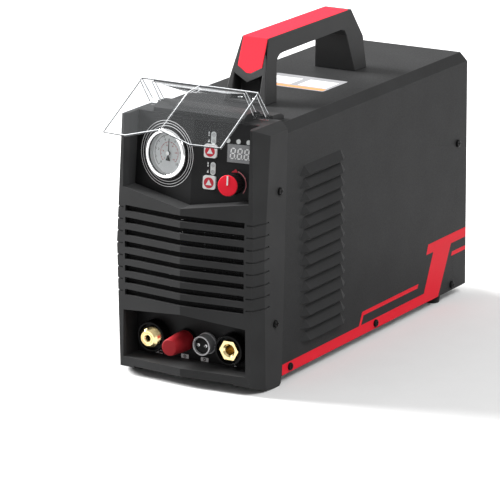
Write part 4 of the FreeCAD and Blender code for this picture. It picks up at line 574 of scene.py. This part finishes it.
def add_wire(bm, points, radius, whole=False, count=8):
    """Round wire along points, closed on itself or with flat ends."""
    loops = []
    total = len(points)
    for k, point in enumerate(points):
        before = points[k - 1] if whole or k > 0 else point
        after = points[(k + 1) % total] if whole or k < total - 1 else point
        along = (after - before).normalized()
        side = along.orthogonal() if abs(along.y) > 0.9 else along.cross(Vector((0, 1, 0)))
        side.normalize()
        up = along.cross(side)
        loop = []
        for j in range(count):
            c, s = polar((0, 0), radius, 2 * math.pi * j / count)
            loop.append(bm.verts.new(point + side * c + up * s))
        loops.append(loop)
    join_loops(bm, loops, whole)


def add_text(bm, text, size, place, low, high):
    """Numerals as a thin plate, centred on their place."""
    curve = bpy.data.curves.new("numeral", "FONT")
    curve.body = text
    curve.size = size
    curve.align_x = "CENTER"
    curve.align_y = "CENTER"
    curve.extrude = (high - low) / 2
    obj = bpy.data.objects.new("numeral", curve)
    mesh = bpy.data.meshes.new_from_object(obj)
    mesh.transform(place @ Matrix.Translation((0, 0, (low + high) / 2)))
    bm.from_mesh(mesh)
    bpy.data.objects.remove(obj)
    bpy.data.curves.remove(curve)
    bpy.data.meshes.remove(mesh)


def finish_piece(name, bm, body, finishes, replaced=(), edge=0.0):
    """Turns a bmesh into a piece that rides on a body and finishes."""
    bmesh.ops.recalc_face_normals(bm, faces=bm.faces)
    mesh = bpy.data.meshes.new(name)
    bm.to_mesh(mesh)
    bm.free()
    mesh.shade_smooth()
    obj = bpy.data.objects.new(name, mesh)
    bpy.context.scene.collection.objects.link(obj)
    for finish in finishes:
        mesh.materials.append(MATERIALS[finish])
    add_normals(obj)
    if edge:
        add_edges(obj, edge, False)
    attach(obj, body)
    if replaced:
        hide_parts(*replaced)
    return obj


# ---------------------------------------------------------------- CAD nodes
def dress_cad_nodes():
    """Gives each CAD node its slot's finish, clean normals and small rounded edges."""
    for name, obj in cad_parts.items():
        slot = obj.data.materials[0].name
        obj.data.materials[0] = MATERIALS[NODE_FINISH.get(name, slot)]
        limit = FOLD if name in FOLDED_NODES else SHARP
        add_normals(obj, limit)
        if slot == "gauge_glass":
            continue
        edged = slot + "_edge" in MATERIALS
        if edged:
            obj.data.materials.append(MATERIALS[slot + "_edge"])
        add_edges(obj, EDGE_WIDTH.get(slot, PLAIN_EDGE), edged, max(limit, BEVELLED))


# ---------------------------------------------------------------- cover stickers and stripes
def seam_y(z):
    return SEAM_BOTTOM_Y + SEAM_SLOPE * (z - COVER_BOTTOM)


def side_face(side):
    """Drawing plane of a cover side in the row frame's y and z: x is y on the right, -y on the left."""
    return face_frame((side * COVER_SIDE, 0.0, 0.0), (0.0, side, 0.0), (0.0, 0.0, 1.0))


def add_side_plate(bm, outline, side):
    points = [(side * y, z) for y, z in outline]
    if side < 0:
        points.reverse()
    add_plate(bm, points, side_face(side), 0.0, STICKER)


def side_stripes():
    """Red stripe along the foot of each cover side, rising into a bar towards the rear."""
    gap = 0.6 * MM
    low = COVER_BOTTOM + 0.3 * MM
    high = 18.1 * MM
    bar_low = 55.0 * MM
    bar_high = 64.5 * MM
    main = [
        (seam_y(low) + gap, low),
        (147.9 * MM, low),
        (173.0 * MM, bar_low),
        (COVER_REAR - gap, bar_low),
        (COVER_REAR - gap, bar_high),
        (127.9 * MM, bar_high),
        (124.2 * MM, bar_low),
        (138.0 * MM, bar_low),
        (119.8 * MM, high),
        (seam_y(high) + gap, high),
    ]
    short_low = 42.3 * MM
    short_high = 46.2 * MM
    short_bar = [
        (173.4 * MM, short_low),
        (COVER_REAR - gap, short_low),
        (COVER_REAR - gap, short_high),
        (175.4 * MM, short_high),
    ]
    thin_low = 26.6 * MM
    thin_high = 30.4 * MM
    pinstripe = [
        (-4.3 * MM, high),
        (-0.1 * MM, high),
        (4.2 * MM, thin_low),
        (107.0 * MM, thin_low),
        (108.9 * MM, thin_high),
        (2.0 * MM, thin_high),
    ]
    for side, word in ((1, "right"), (-1, "left")):
        bm = bmesh.new()
        for outline in (main, short_bar, pinstripe):
            add_side_plate(bm, outline, side)
        finish_piece("side_stripe_" + word, bm, "case", ["red_print"])


def top_sticker():
    """Plain sticker under the handle: pale sheet with blank coloured blocks."""
    place = face_frame((0.0, STICKER_Y, COVER_TOP), (1.0, 0.0, 0.0), (0.0, 1.0, 0.0))
    corner = 2.0 * MM
    bm = bmesh.new()
    add_plate(bm, rounded_rectangle((0, 0), STICKER_SIZE, corner), place, 0.0, STICKER)
    finish_piece("top_sticker", bm, "case", ["grey_print"])
    blocks = (
        ("sticker_band", "orange_print", ((0.0, -17.5), (72.0, 6.0))),
        ("sticker_left_block", "white_print", ((-19.0, 1.0), (30.0, 24.0))),
        ("sticker_right_block", "white_print", ((19.0, 1.0), (30.0, 24.0))),
    )
    for name, finish, (centre, size) in blocks:
        bm = bmesh.new()
        middle = Vector(centre) * MM
        add_plate(bm, rectangle(middle, Vector(size) * MM), place, STICKER, STICKER + INK)
        finish_piece(name, bm, "case", [finish])


# ---------------------------------------------------------------- control panel print
def gauge_ring_lines():
    """Three thin printed circles round the gauge, folded with the panel, in pale ink with a painted glow."""
    middle = panel_spot(centre_of("gauge_lens"), -1).col[3].to_3d()
    bm = bmesh.new()
    count = 96
    for inner in RING_LINES:
        outer = inner + RING_LINE_WIDTH
        loops = []
        for k in range(count):
            angle = 2 * math.pi * k / count
            loop = []
            for r, lift in ((inner, 0.0), (outer, 0.0), (outer, INK), (inner, INK)):
                x, z = polar((middle.x, middle.z), r, angle)
                place = at_panel(x, z, 1 if x > 0 else -1)
                loop.append(bm.verts.new(place @ Vector((0, 0, lift))))
            loops.append(loop)
        join_loops(bm, loops, True)
    finish_piece("gauge_circles", bm, "case", ["pale_print_with_glow"])


def knob_scale():
    """Printed arc beside the knob with a small triangle at its start, and the knob's painted pointer."""
    place = panel_spot(centre_of("knob_shaft"), 1)
    bm = bmesh.new()
    add_band(bm, (0, 0), KNOB_SCALE, (KNOB_SCALE_START, KNOB_SCALE_END), place, 0.0, INK)
    finish_piece("knob_scale", bm, "case", ["pink_print"])
    triangle = [(-3.2 * MM, 10.0 * MM), (3.4 * MM, 10.4 * MM), (1.3 * MM, 13.2 * MM)]
    bm = bmesh.new()
    add_plate(bm, triangle, place, 0.0, INK)
    finish_piece("knob_scale_start", bm, "case", ["dark_red_print"])
    bm = bmesh.new()
    line = rectangle((0.0, 4.6 * MM), (1.5 * MM, 8.4 * MM))
    add_plate(bm, line, place, KNOB_POINTER, KNOB_POINTER + INK)
    finish_piece("knob_pointer_paint", bm, "current_knob", ["white_print"])


def button_marks():
    """Red disc with a white triangle on each button."""
    for word in ("upper", "lower"):
        place = panel_spot(centre_of("button_" + word), 1)
        bm = bmesh.new()
        add_plate(bm, circle((0, 0), BUTTON_DISC), place, BUTTON_FACE, BUTTON_FACE + INK)
        finish_piece(word + "_button_disc", bm, word + "_button", ["dark_red_print"])
        triangle = [(-2.9 * MM, -2.1 * MM), (2.9 * MM, -2.1 * MM), (0.0, 2.9 * MM)]
        bm = bmesh.new()
        add_plate(bm, triangle, place, BUTTON_FACE + INK, BUTTON_FACE + 2 * INK)
        finish_piece(word + "_button_arrow", bm, word + "_button", ["white_print"])


def lamp_marks():
    """Ringed dots on the two capsule lamps and the small signs beside them."""
    bm = bmesh.new()
    signs = bmesh.new()
    ring = (1.1 * MM, 1.6 * MM)
    dot = 0.55 * MM
    ink_top = LAMP_FACE + INK
    for x, z in LAMP_PLACES:
        place = at_panel(x, z, 1)
        for height in (LAMP_SPREAD, -LAMP_SPREAD):
            add_band(bm, (0, height), ring, (0, 2 * math.pi), place, LAMP_FACE, ink_top, 24)
            add_plate(bm, circle((0, height), dot, 16), place, LAMP_FACE, ink_top)
        for height, length in ((4.2 * MM, 2.0 * MM), (2.0 * MM, 1.3 * MM)):
            add_plate(signs, rectangle((-4.9 * MM, height), (0.9 * MM, length)), place, 0.0, INK)
        wedge = [(-5.9 * MM, -4.0 * MM), (-4.1 * MM, -4.0 * MM), (-4.5 * MM, -1.4 * MM)]
        add_plate(signs, wedge, place, 0.0, INK)
    finish_piece("lamp_rings", bm, "case", ["grey_print"])
    finish_piece("lamp_signs", signs, "case", ["white_print"])


def display_digits():
    """Three seven-segment digits, all segments lit, leaning a little."""
    place = panel_spot(centre_of("display_module"), 1)
    width = 4.3 * MM
    height = 8.9 * MM
    stroke = 1.15 * MM
    lean = 0.12
    shift = 0.9 * MM
    level_bar = [
        (-width / 2 + stroke * 0.6, 0.0),
        (-width / 2 + stroke, -stroke / 2),
        (width / 2 - stroke, -stroke / 2),
        (width / 2 - stroke * 0.6, 0.0),
        (width / 2 - stroke, stroke / 2),
        (-width / 2 + stroke, stroke / 2),
    ]
    tall = height / 2 - stroke * 0.5
    upright_bar = [
        (0.0, -tall / 2),
        (stroke / 2, -tall / 2 + stroke / 2),
        (stroke / 2, tall / 2 - stroke / 2),
        (0.0, tall / 2),
        (-stroke / 2, tall / 2 - stroke / 2),
        (-stroke / 2, -tall / 2 + stroke / 2),
    ]
    # each segment: its outline and its place beside the digit's middle
    segments = [(level_bar, 0.0, level * height) for level in (-0.5, 0.0, 0.5)]
    for side in (-1, 1):
        for level in (-0.25, 0.25):
            segments.append((upright_bar, side * (width / 2 - stroke * 0.2), level * height))
    bm = bmesh.new()
    for k in range(3):
        middle = (k - 1) * DIGIT_PITCH + shift
        for bar, across, up in segments:
            points = [(middle + across + x + lean * (y + up), y + up) for x, y in bar]
            add_plate(bm, points, place, DISPLAY_FACE, DISPLAY_FACE + INK)
        dot = (middle + width * 0.62, -height / 2)
        add_plate(bm, circle(dot, 0.5 * MM, 16), place, DISPLAY_FACE, DISPLAY_FACE + INK)
    finish_piece("display_digits", bm, "case", ["lit_segment"])


# ---------------------------------------------------------------- gauge
def dial_angle(share):
    """Direction of a share of the scale, from lower left clockwise to lower right."""
    return math.radians(90.0) + DIAL_SWEEP * (0.5 - share)


def add_ticks(bm, place, count, radii, width, every=0):
    """Radial marks over the scale, leaving out one in each `every` where that is given."""
    for k in range(count + 1):
        if every and k % every == 0:
            continue
        angle = dial_angle(k / count)
        turned = place @ Matrix.Rotation(angle, 4, "Z")
        middle = ((radii[0] + radii[1]) / 2, 0.0)
        add_plate(bm, rectangle(middle, (radii[1] - radii[0], width)), turned, DIAL_FACE, DIAL_FACE + INK)


def dial_plate(place):
    """White dial disc with a slightly rounded rim."""
    rim = 0.5 * MM
    drop = 0.2 * MM
    stations = [
        (DIAL_FACE - DIAL_THICK, DIAL_HOLE),
        (DIAL_FACE, DIAL_HOLE),
        (DIAL_FACE, DIAL_RADIUS - rim),
        (DIAL_FACE - drop, DIAL_RADIUS),
        (DIAL_FACE - DIAL_THICK, DIAL_RADIUS),
    ]
    bm = bmesh.new()
    add_turned(bm, stations, place, 96)
    finish_piece("dial_face", bm, "case", ["dial_white"], ["gauge_dial"])


def gauge_lining(place):
    """Thin white lining of the case between the dial and the lens."""
    outer = CASE_BORE - 0.04 * MM
    low = DIAL_FACE + 0.05 * MM
    high = LENS_BACK - 0.1 * MM
    bm = bmesh.new()
    stations = [(low, outer - 0.5 * MM), (high, outer - 0.3 * MM), (high, outer), (low, outer)]
    add_turned(bm, stations, place, 96)
    finish_piece("gauge_lining", bm, "case", ["white_print"])


def dial_numbers(bm, place, step, radius, size):
    """Six numbers along the scale, from 0 upwards."""
    for k in range(6):
        spot = place @ Matrix.Translation((*polar((0, 0), radius, dial_angle(k / 5)), 0.0))
        add_text(bm, str(step * k), size, spot, DIAL_FACE, DIAL_FACE + INK)


def gauge_face():
    """Printed dial: black outer scale, red inner scale, plain numbers."""
    place = panel_spot(centre_of("gauge_lens"), -1)
    dial_plate(place)
    gauge_lining(place)
    arc = (dial_angle(1.0), dial_angle(0.0))
    line = 0.3 * MM
    top = DIAL_FACE + INK
    black = bmesh.new()
    add_band(black, (0, 0), (BLACK_SCALE, BLACK_SCALE + line), arc, place, DIAL_FACE, top, 72)
    add_ticks(black, place, 10, (14.6 * MM, 16.4 * MM), 0.4 * MM)
    add_ticks(black, place, 50, (15.5 * MM, 16.4 * MM), 0.16 * MM, 5)
    dial_numbers(black, place, 2, 12.6 * MM, 2.9 * MM)
    finish_piece("dial_black_print", black, "case", ["black_print"])
    red = bmesh.new()
    add_band(red, (0, 0), (RED_SCALE, RED_SCALE + line), arc, place, DIAL_FACE, top, 60)
    add_ticks(red, place, 15, (8.9 * MM, 10.0 * MM), 0.25 * MM)
    dial_numbers(red, place, 30, 7.3 * MM, 1.9 * MM)
    finish_piece("dial_red_print", red, "case", ["dark_red_print"])


def needle_hub():
    """Domed cap over the needle's hub, pale with a painted glow."""
    place = panel_spot(centre_of("gauge_lens"), -1)
    stations = [(NEEDLE_HUB, HUB_RADIUS)]
    for k in range(1, 6):
        angle = math.pi / 2 * k / 6
        stations.append((NEEDLE_HUB + HUB_DOME * math.sin(angle), HUB_RADIUS * math.cos(angle)))
    bm = bmesh.new()
    add_turned(bm, stations, place, 32, closed=False)
    finish_piece("needle_hub", bm, "needle", ["glowing_pin"])


# ---------------------------------------------------------------- visor
def visor_spot(x, y, z, depth=0.0):
    """Place of a point of the shut visor, pulled a little inwards and swung to the open pose."""
    point = Vector((x, y, z))
    middle = Vector((0.0, point.y, VISOR_MIDDLE_Z))
    point += (middle - point).normalized() * RIM_INSET
    point.y += depth
    return VISOR_HINGE + Matrix.Rotation(VISOR_OPEN, 3, "X") @ (point * MM - VISOR_HINGE)


def visor_arm_wires(bm, depth, radius):
    """Painted highlight or painted shade lines along the edges of both arms, at a depth in the plate."""
    shift = ARM_SHIFT * (depth - VISOR_THICK / 2)
    for side in (-1, 1):
        for x in (VISOR_ARM_INNER + 2 * RIM_INSET, VISOR_HALF):
            for line in VISOR_ARM_LINES:
                points = [visor_spot(side * x, y + shift, z + shift) for y, z in line]
                add_wire(bm, points, ARM_WIRE * radius * MM)


def painted_visor_rims():
    """Painted edge lines of the clear visor: outline and arms with a painted highlight line outside and a
    painted shade line inside, and a painted highlight along the fold.
    """
    bright = bmesh.new()
    shade = bmesh.new()
    left = [(-x, y, z) for x, y, z in VISOR_OUTLINE]
    ring = list(VISOR_OUTLINE) + left[-2::-1]
    fold = ((0.0, *VISOR_OUTLINE[0][1:]), VISOR_BEND, VISOR_OUTLINE[-1])
    layers = ((bright, RIM_INSET, RIM_HIGHLIGHT_WIRE), (shade, VISOR_THICK - SHADE_WIRE, SHADE_WIRE))
    for bm, depth, radius in layers:
        add_wire(bm, [visor_spot(*point, depth) for point in ring], radius * MM, whole=True)
        visor_arm_wires(bm, depth, radius)
    add_wire(bright, [visor_spot(*point, VISOR_THICK / 2) for point in fold], RIM_HIGHLIGHT_WIRE * MM)
    finish_piece("painted_visor_rims", bright, "visor_cover", ["visor_clear_edge"])
    finish_piece("visor_rim_painted_shade", shade, "visor_cover", ["rim_shade"])


# ---------------------------------------------------------------- connectors
def thread_radius(share):
    """Radius of a screw thread at a share of one pitch along it."""

    def radius(angle):
        phase = (share - angle / (2 * math.pi)) % 1.0
        return STUD_RADIUS - THREAD_DEPTH * (1.0 - abs(2.0 * phase - 1.0))

    return radius


def threaded_stud():
    """Brass torch stud: countersunk gas bore, grooved face, wide chamfer and a real thread."""
    middle = centre_of("torch_stud")
    place = face_frame((middle.x, STUD_FRONT_Y, middle.z), (1, 0, 0), (0, 0, 1))
    back = STUD_FRONT_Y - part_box("torch_stud")[1].y
    body_end = STUD_FRONT_Y - STUD_BODY_END_Y
    stations = [
        (back, STUD_BORE),
        (-1.0 * MM, STUD_BORE),
        (0.0, STUD_BORE + 0.8 * MM),
        (0.0, 4.6 * MM),
        (-0.5 * MM, 4.9 * MM),
        (-0.5 * MM, 5.9 * MM),
        (0.0, 6.2 * MM),
        (0.0, 6.9 * MM),
        (-1.7 * MM, STUD_RADIUS - 0.5 * MM),
    ]
    steps = 6
    for k in range(THREAD_TURNS * steps + 1):
        share = k / steps
        stations.append((-1.9 * MM - share * THREAD_PITCH, thread_radius(share)))
    stations += [
        (STUD_SEAT + 0.3 * MM, STUD_RADIUS - THREAD_DEPTH),
        (STUD_SEAT, STUD_RADIUS - THREAD_DEPTH),
        (STUD_SEAT, STUD_BODY_RADIUS),
        (body_end, STUD_BODY_RADIUS),
        (body_end, 4.0 * MM),
        (back, 4.0 * MM),
    ]
    bm = bmesh.new()
    add_turned(bm, stations, place, 72)
    finish_piece("torch_stud_threaded", bm, "case", ["brass"], ["torch_stud"])


def trigger_pins():
    """Rounded pale ends on the two pins of the trigger connector, with a painted glow."""
    low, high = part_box("pilot_plug_insert")
    middle = (low + high) / 2
    stations = [
        (-2.0 * MM, PIN_RADIUS),
        (-0.6 * MM, PIN_RADIUS),
        (-0.15 * MM, 0.8 * PIN_RADIUS),
        (0.0, 0.4 * PIN_RADIUS),
    ]
    bm = bmesh.new()
    for side in (-1, 1):
        place = face_frame((middle.x + side * PIN_SPREAD, low.y, middle.z), (1, 0, 0), (0, 0, 1))
        add_turned(bm, stations, place, 24, closed=False)
    finish_piece("trigger_pin_ends", bm, "case", ["glowing_pin"])


def port_marks():
    """Small blank signs on the connector plate, one under each connector."""
    place = face_frame((0.0, PORT_FACE_Y, PORT_MARK_Z), (1, 0, 0), (0, 0, 1))
    size = (8.0 * MM, 3.8 * MM)
    corner = 0.5 * MM
    ring = (0.7 * MM, 1.5 * MM)
    bm = bmesh.new()
    dark = bmesh.new()
    for x in (-12.6 * MM, 8.3 * MM):
        add_plate(bm, rounded_rectangle((x, 0.0), size, corner), place, 0.0, INK)
        add_band(dark, (x, 0.0), ring, (0, 2 * math.pi), place, INK, 2 * INK, 24)
    for x in (-40.0 * MM, 38.0 * MM):
        wedge = [(x - 4.0 * MM, -1.2 * MM), (x - 0.2 * MM, -1.6 * MM), (x - 0.2 * MM, 1.6 * MM)]
        add_plate(bm, wedge, place, 0.0, INK)
        for height in (-1.2 * MM, 1.2 * MM):
            add_plate(bm, rectangle((x + 2.0 * MM, height), (3.2 * MM, 0.7 * MM)), place, 0.0, INK)
    finish_piece("port_signs", bm, "case", ["white_print"])
    finish_piece("port_sign_rings", dark, "case", ["black_print"])


def screen_y(x, z):
    """Front of the dust screen at a place given by x and height."""
    rows = SCREEN_ROWS
    k = 0 if z < rows[1][0] * MM else 1
    share = (z / MM - rows[k][0]) / (rows[k + 1][0] - rows[k][0])
    ridge = rows[k][1] + share * (rows[k + 1][1] - rows[k][1])
    side = rows[k][2] + share * (rows[k + 1][2] - rows[k][2])
    return (ridge + (side - ridge) * abs(x) / SCREEN_HALF) * MM


def add_bar(bm, points, across, width, depth):
    """Flat bar along points, centred across them and running back by its depth."""
    half = across * width / 2
    back = Vector((0, depth, 0))
    loops = []
    for point in points:
        corners = (point - half, point + half, point + half + back, point - half + back)
        loops.append([bm.verts.new(corner) for corner in corners])
    join_loops(bm, loops, False)


def dust_screen():
    """Fine black wire screen behind the vent slots, folded like the bezel; its wide wires make it nearly a
    dark sheet, partly screen and partly painted shade for the machine's dark inside.
    """
    low, fold, high = (row[0] * MM for row in SCREEN_ROWS)
    bm = bmesh.new()
    for k in range(int(2 * SCREEN_HALF / SCREEN_PITCH) + 1):
        x = -SCREEN_HALF + k * SCREEN_PITCH
        points = [Vector((x, screen_y(x, z), z)) for z in (low, fold, high)]
        add_bar(bm, points, Vector((1, 0, 0)), SCREEN_WIRE, SCREEN_DEPTH)
    for k in range(int((high - low) / SCREEN_PITCH) + 1):
        z = low + k * SCREEN_PITCH
        points = [Vector((x, screen_y(x, z) + SCREEN_DEPTH, z)) for x in (-SCREEN_HALF, 0.0, SCREEN_HALF)]
        add_bar(bm, points, Vector((0, 0, 1)), SCREEN_WIRE, SCREEN_DEPTH)
    finish_piece("dust_screen", bm, "case", ["screen_black"])


# ---------------------------------------------------------------- rear
def fan_guard_wires():
    """Finger guard of round wire rings on a cross of wire arms with flattened eyes."""
    y = REAR_FACE_Y + GUARD_WIRE
    middle = Vector((0.0, y, FAN_Z))
    bm = bmesh.new()
    for radius in GUARD_RINGS:
        points = []
        for x, z in circle((0, 0), radius, 72):
            points.append(middle + Vector((x, 0.0, z)))
        add_wire(bm, points, GUARD_WIRE, whole=True)
    reach = FAN_PITCH / math.sqrt(2)
    inner, outer = GUARD_EYE
    flange = 2 * GUARD_WIRE
    eye = [(0.0, inner), (0.0, outer), (flange, outer), (flange, inner)]
    for k in range(4):
        angle = math.pi / 4 + math.pi / 2 * k
        ends = []
        for radius in (GUARD_RINGS[0], reach - (inner + outer) / 2):
            x, z = polar((0, 0), radius, angle)
            ends.append(middle + Vector((x, 0.0, z)))
        add_wire(bm, ends, GUARD_WIRE)
        x, z = polar((0, 0), reach, angle)
        place = face_frame((x, REAR_FACE_Y, FAN_Z + z), (-1, 0, 0), (0, 0, 1))
        add_turned(bm, eye, place, 32)
    finish_piece("fan_guard_wires", bm, "case", ["screw_zinc"], ["fan_guard"])


# ---------------------------------------------------------------- studio
def sky():
    """White surroundings: dim below the horizon, bright above it."""
    world = bpy.data.worlds.new("studio")
    world.use_nodes = True
    tree = world.node_tree
    direction = tree.nodes.new("ShaderNodeTexCoord")
    parts = tree.nodes.new("ShaderNodeSeparateXYZ")
    ramp = tree.nodes.new("ShaderNodeValToRGB")
    half = tree.nodes.new("ShaderNodeMapRange")
    half.inputs["From Min"].default_value = -1.0
    elements = ramp.color_ramp.elements
    for position, _ in SKY[1:-1]:
        elements.new(position)
    for element, (position, level) in zip(elements, SKY):
        element.position = position
        element.color = (level, level, level, 1.0)
    tree.links.new(direction.outputs["Generated"], parts.inputs["Vector"])
    tree.links.new(parts.outputs["Z"], half.inputs["Value"])
    tree.links.new(half.outputs["Result"], ramp.inputs["Fac"])
    tree.links.new(ramp.outputs["Color"], tree.nodes["Background"].inputs["Color"])
    return world


def studio():
    """Pale floor, white surroundings, soft lamps and the camera."""
    bm = bmesh.new()
    bmesh.ops.create_circle(bm, cap_ends=True, segments=128, radius=FLOOR_RADIUS)
    mesh = bpy.data.meshes.new("floor")
    bm.to_mesh(mesh)
    bm.free()
    floor = bpy.data.objects.new("floor", mesh)
    floor.data.materials.append(solid_finish("floor_paper", (0.7, 0.7, 0.7), 0.8, vary=0.01, grain=300.0))
    # the floor takes shadows and shows to the camera, but throws no light up at the object
    floor.visible_diffuse = False
    scene = bpy.context.scene
    scene.collection.objects.link(floor)
    scene.view_settings.view_transform = "Standard"
    scene.world = sky()

    for name, towards, strength in LAMPS:
        lamp = bpy.data.lights.new(name, "SUN")
        lamp.energy = strength
        lamp.angle = LAMP_ANGLE
        obj = bpy.data.objects.new(name, lamp)
        obj.rotation_euler = Vector(towards).to_track_quat("Z", "Y").to_euler()
        scene.collection.objects.link(obj)
    add_camera(scene)


def add_camera(scene):
    """Camera that looks down at the front and the right side."""
    camera = bpy.data.cameras.new("camera")
    camera.sensor_width = CAMERA_SENSOR
    camera.lens = CAMERA_LENS
    camera.clip_end = FLOOR_RADIUS
    obj = bpy.data.objects.new("camera", camera)
    level = Vector((math.cos(CAMERA_AZIMUTH), math.sin(CAMERA_AZIMUTH), 0.0))
    ahead = Vector((-level.y, level.x, 0.0))
    forward = ahead * math.cos(CAMERA_PITCH) - Vector((0.0, 0.0, math.sin(CAMERA_PITCH)))
    upright = level.cross(forward)
    across = level * math.cos(CAMERA_ROLL) + upright * math.sin(CAMERA_ROLL)
    up = upright * math.cos(CAMERA_ROLL) - level * math.sin(CAMERA_ROLL)
    obj.matrix_world = face_frame(CAMERA_PLACE, across, up)
    scene.collection.objects.link(obj)
    scene.camera = obj


MATERIALS = make_materials()
dress_cad_nodes()
side_stripes()
top_sticker()
gauge_ring_lines()
knob_scale()
button_marks()
lamp_marks()
display_digits()
gauge_face()
needle_hub()
painted_visor_rims()
threaded_stud()
trigger_pins()
port_marks()
dust_screen()
fan_guard_wires()
studio()
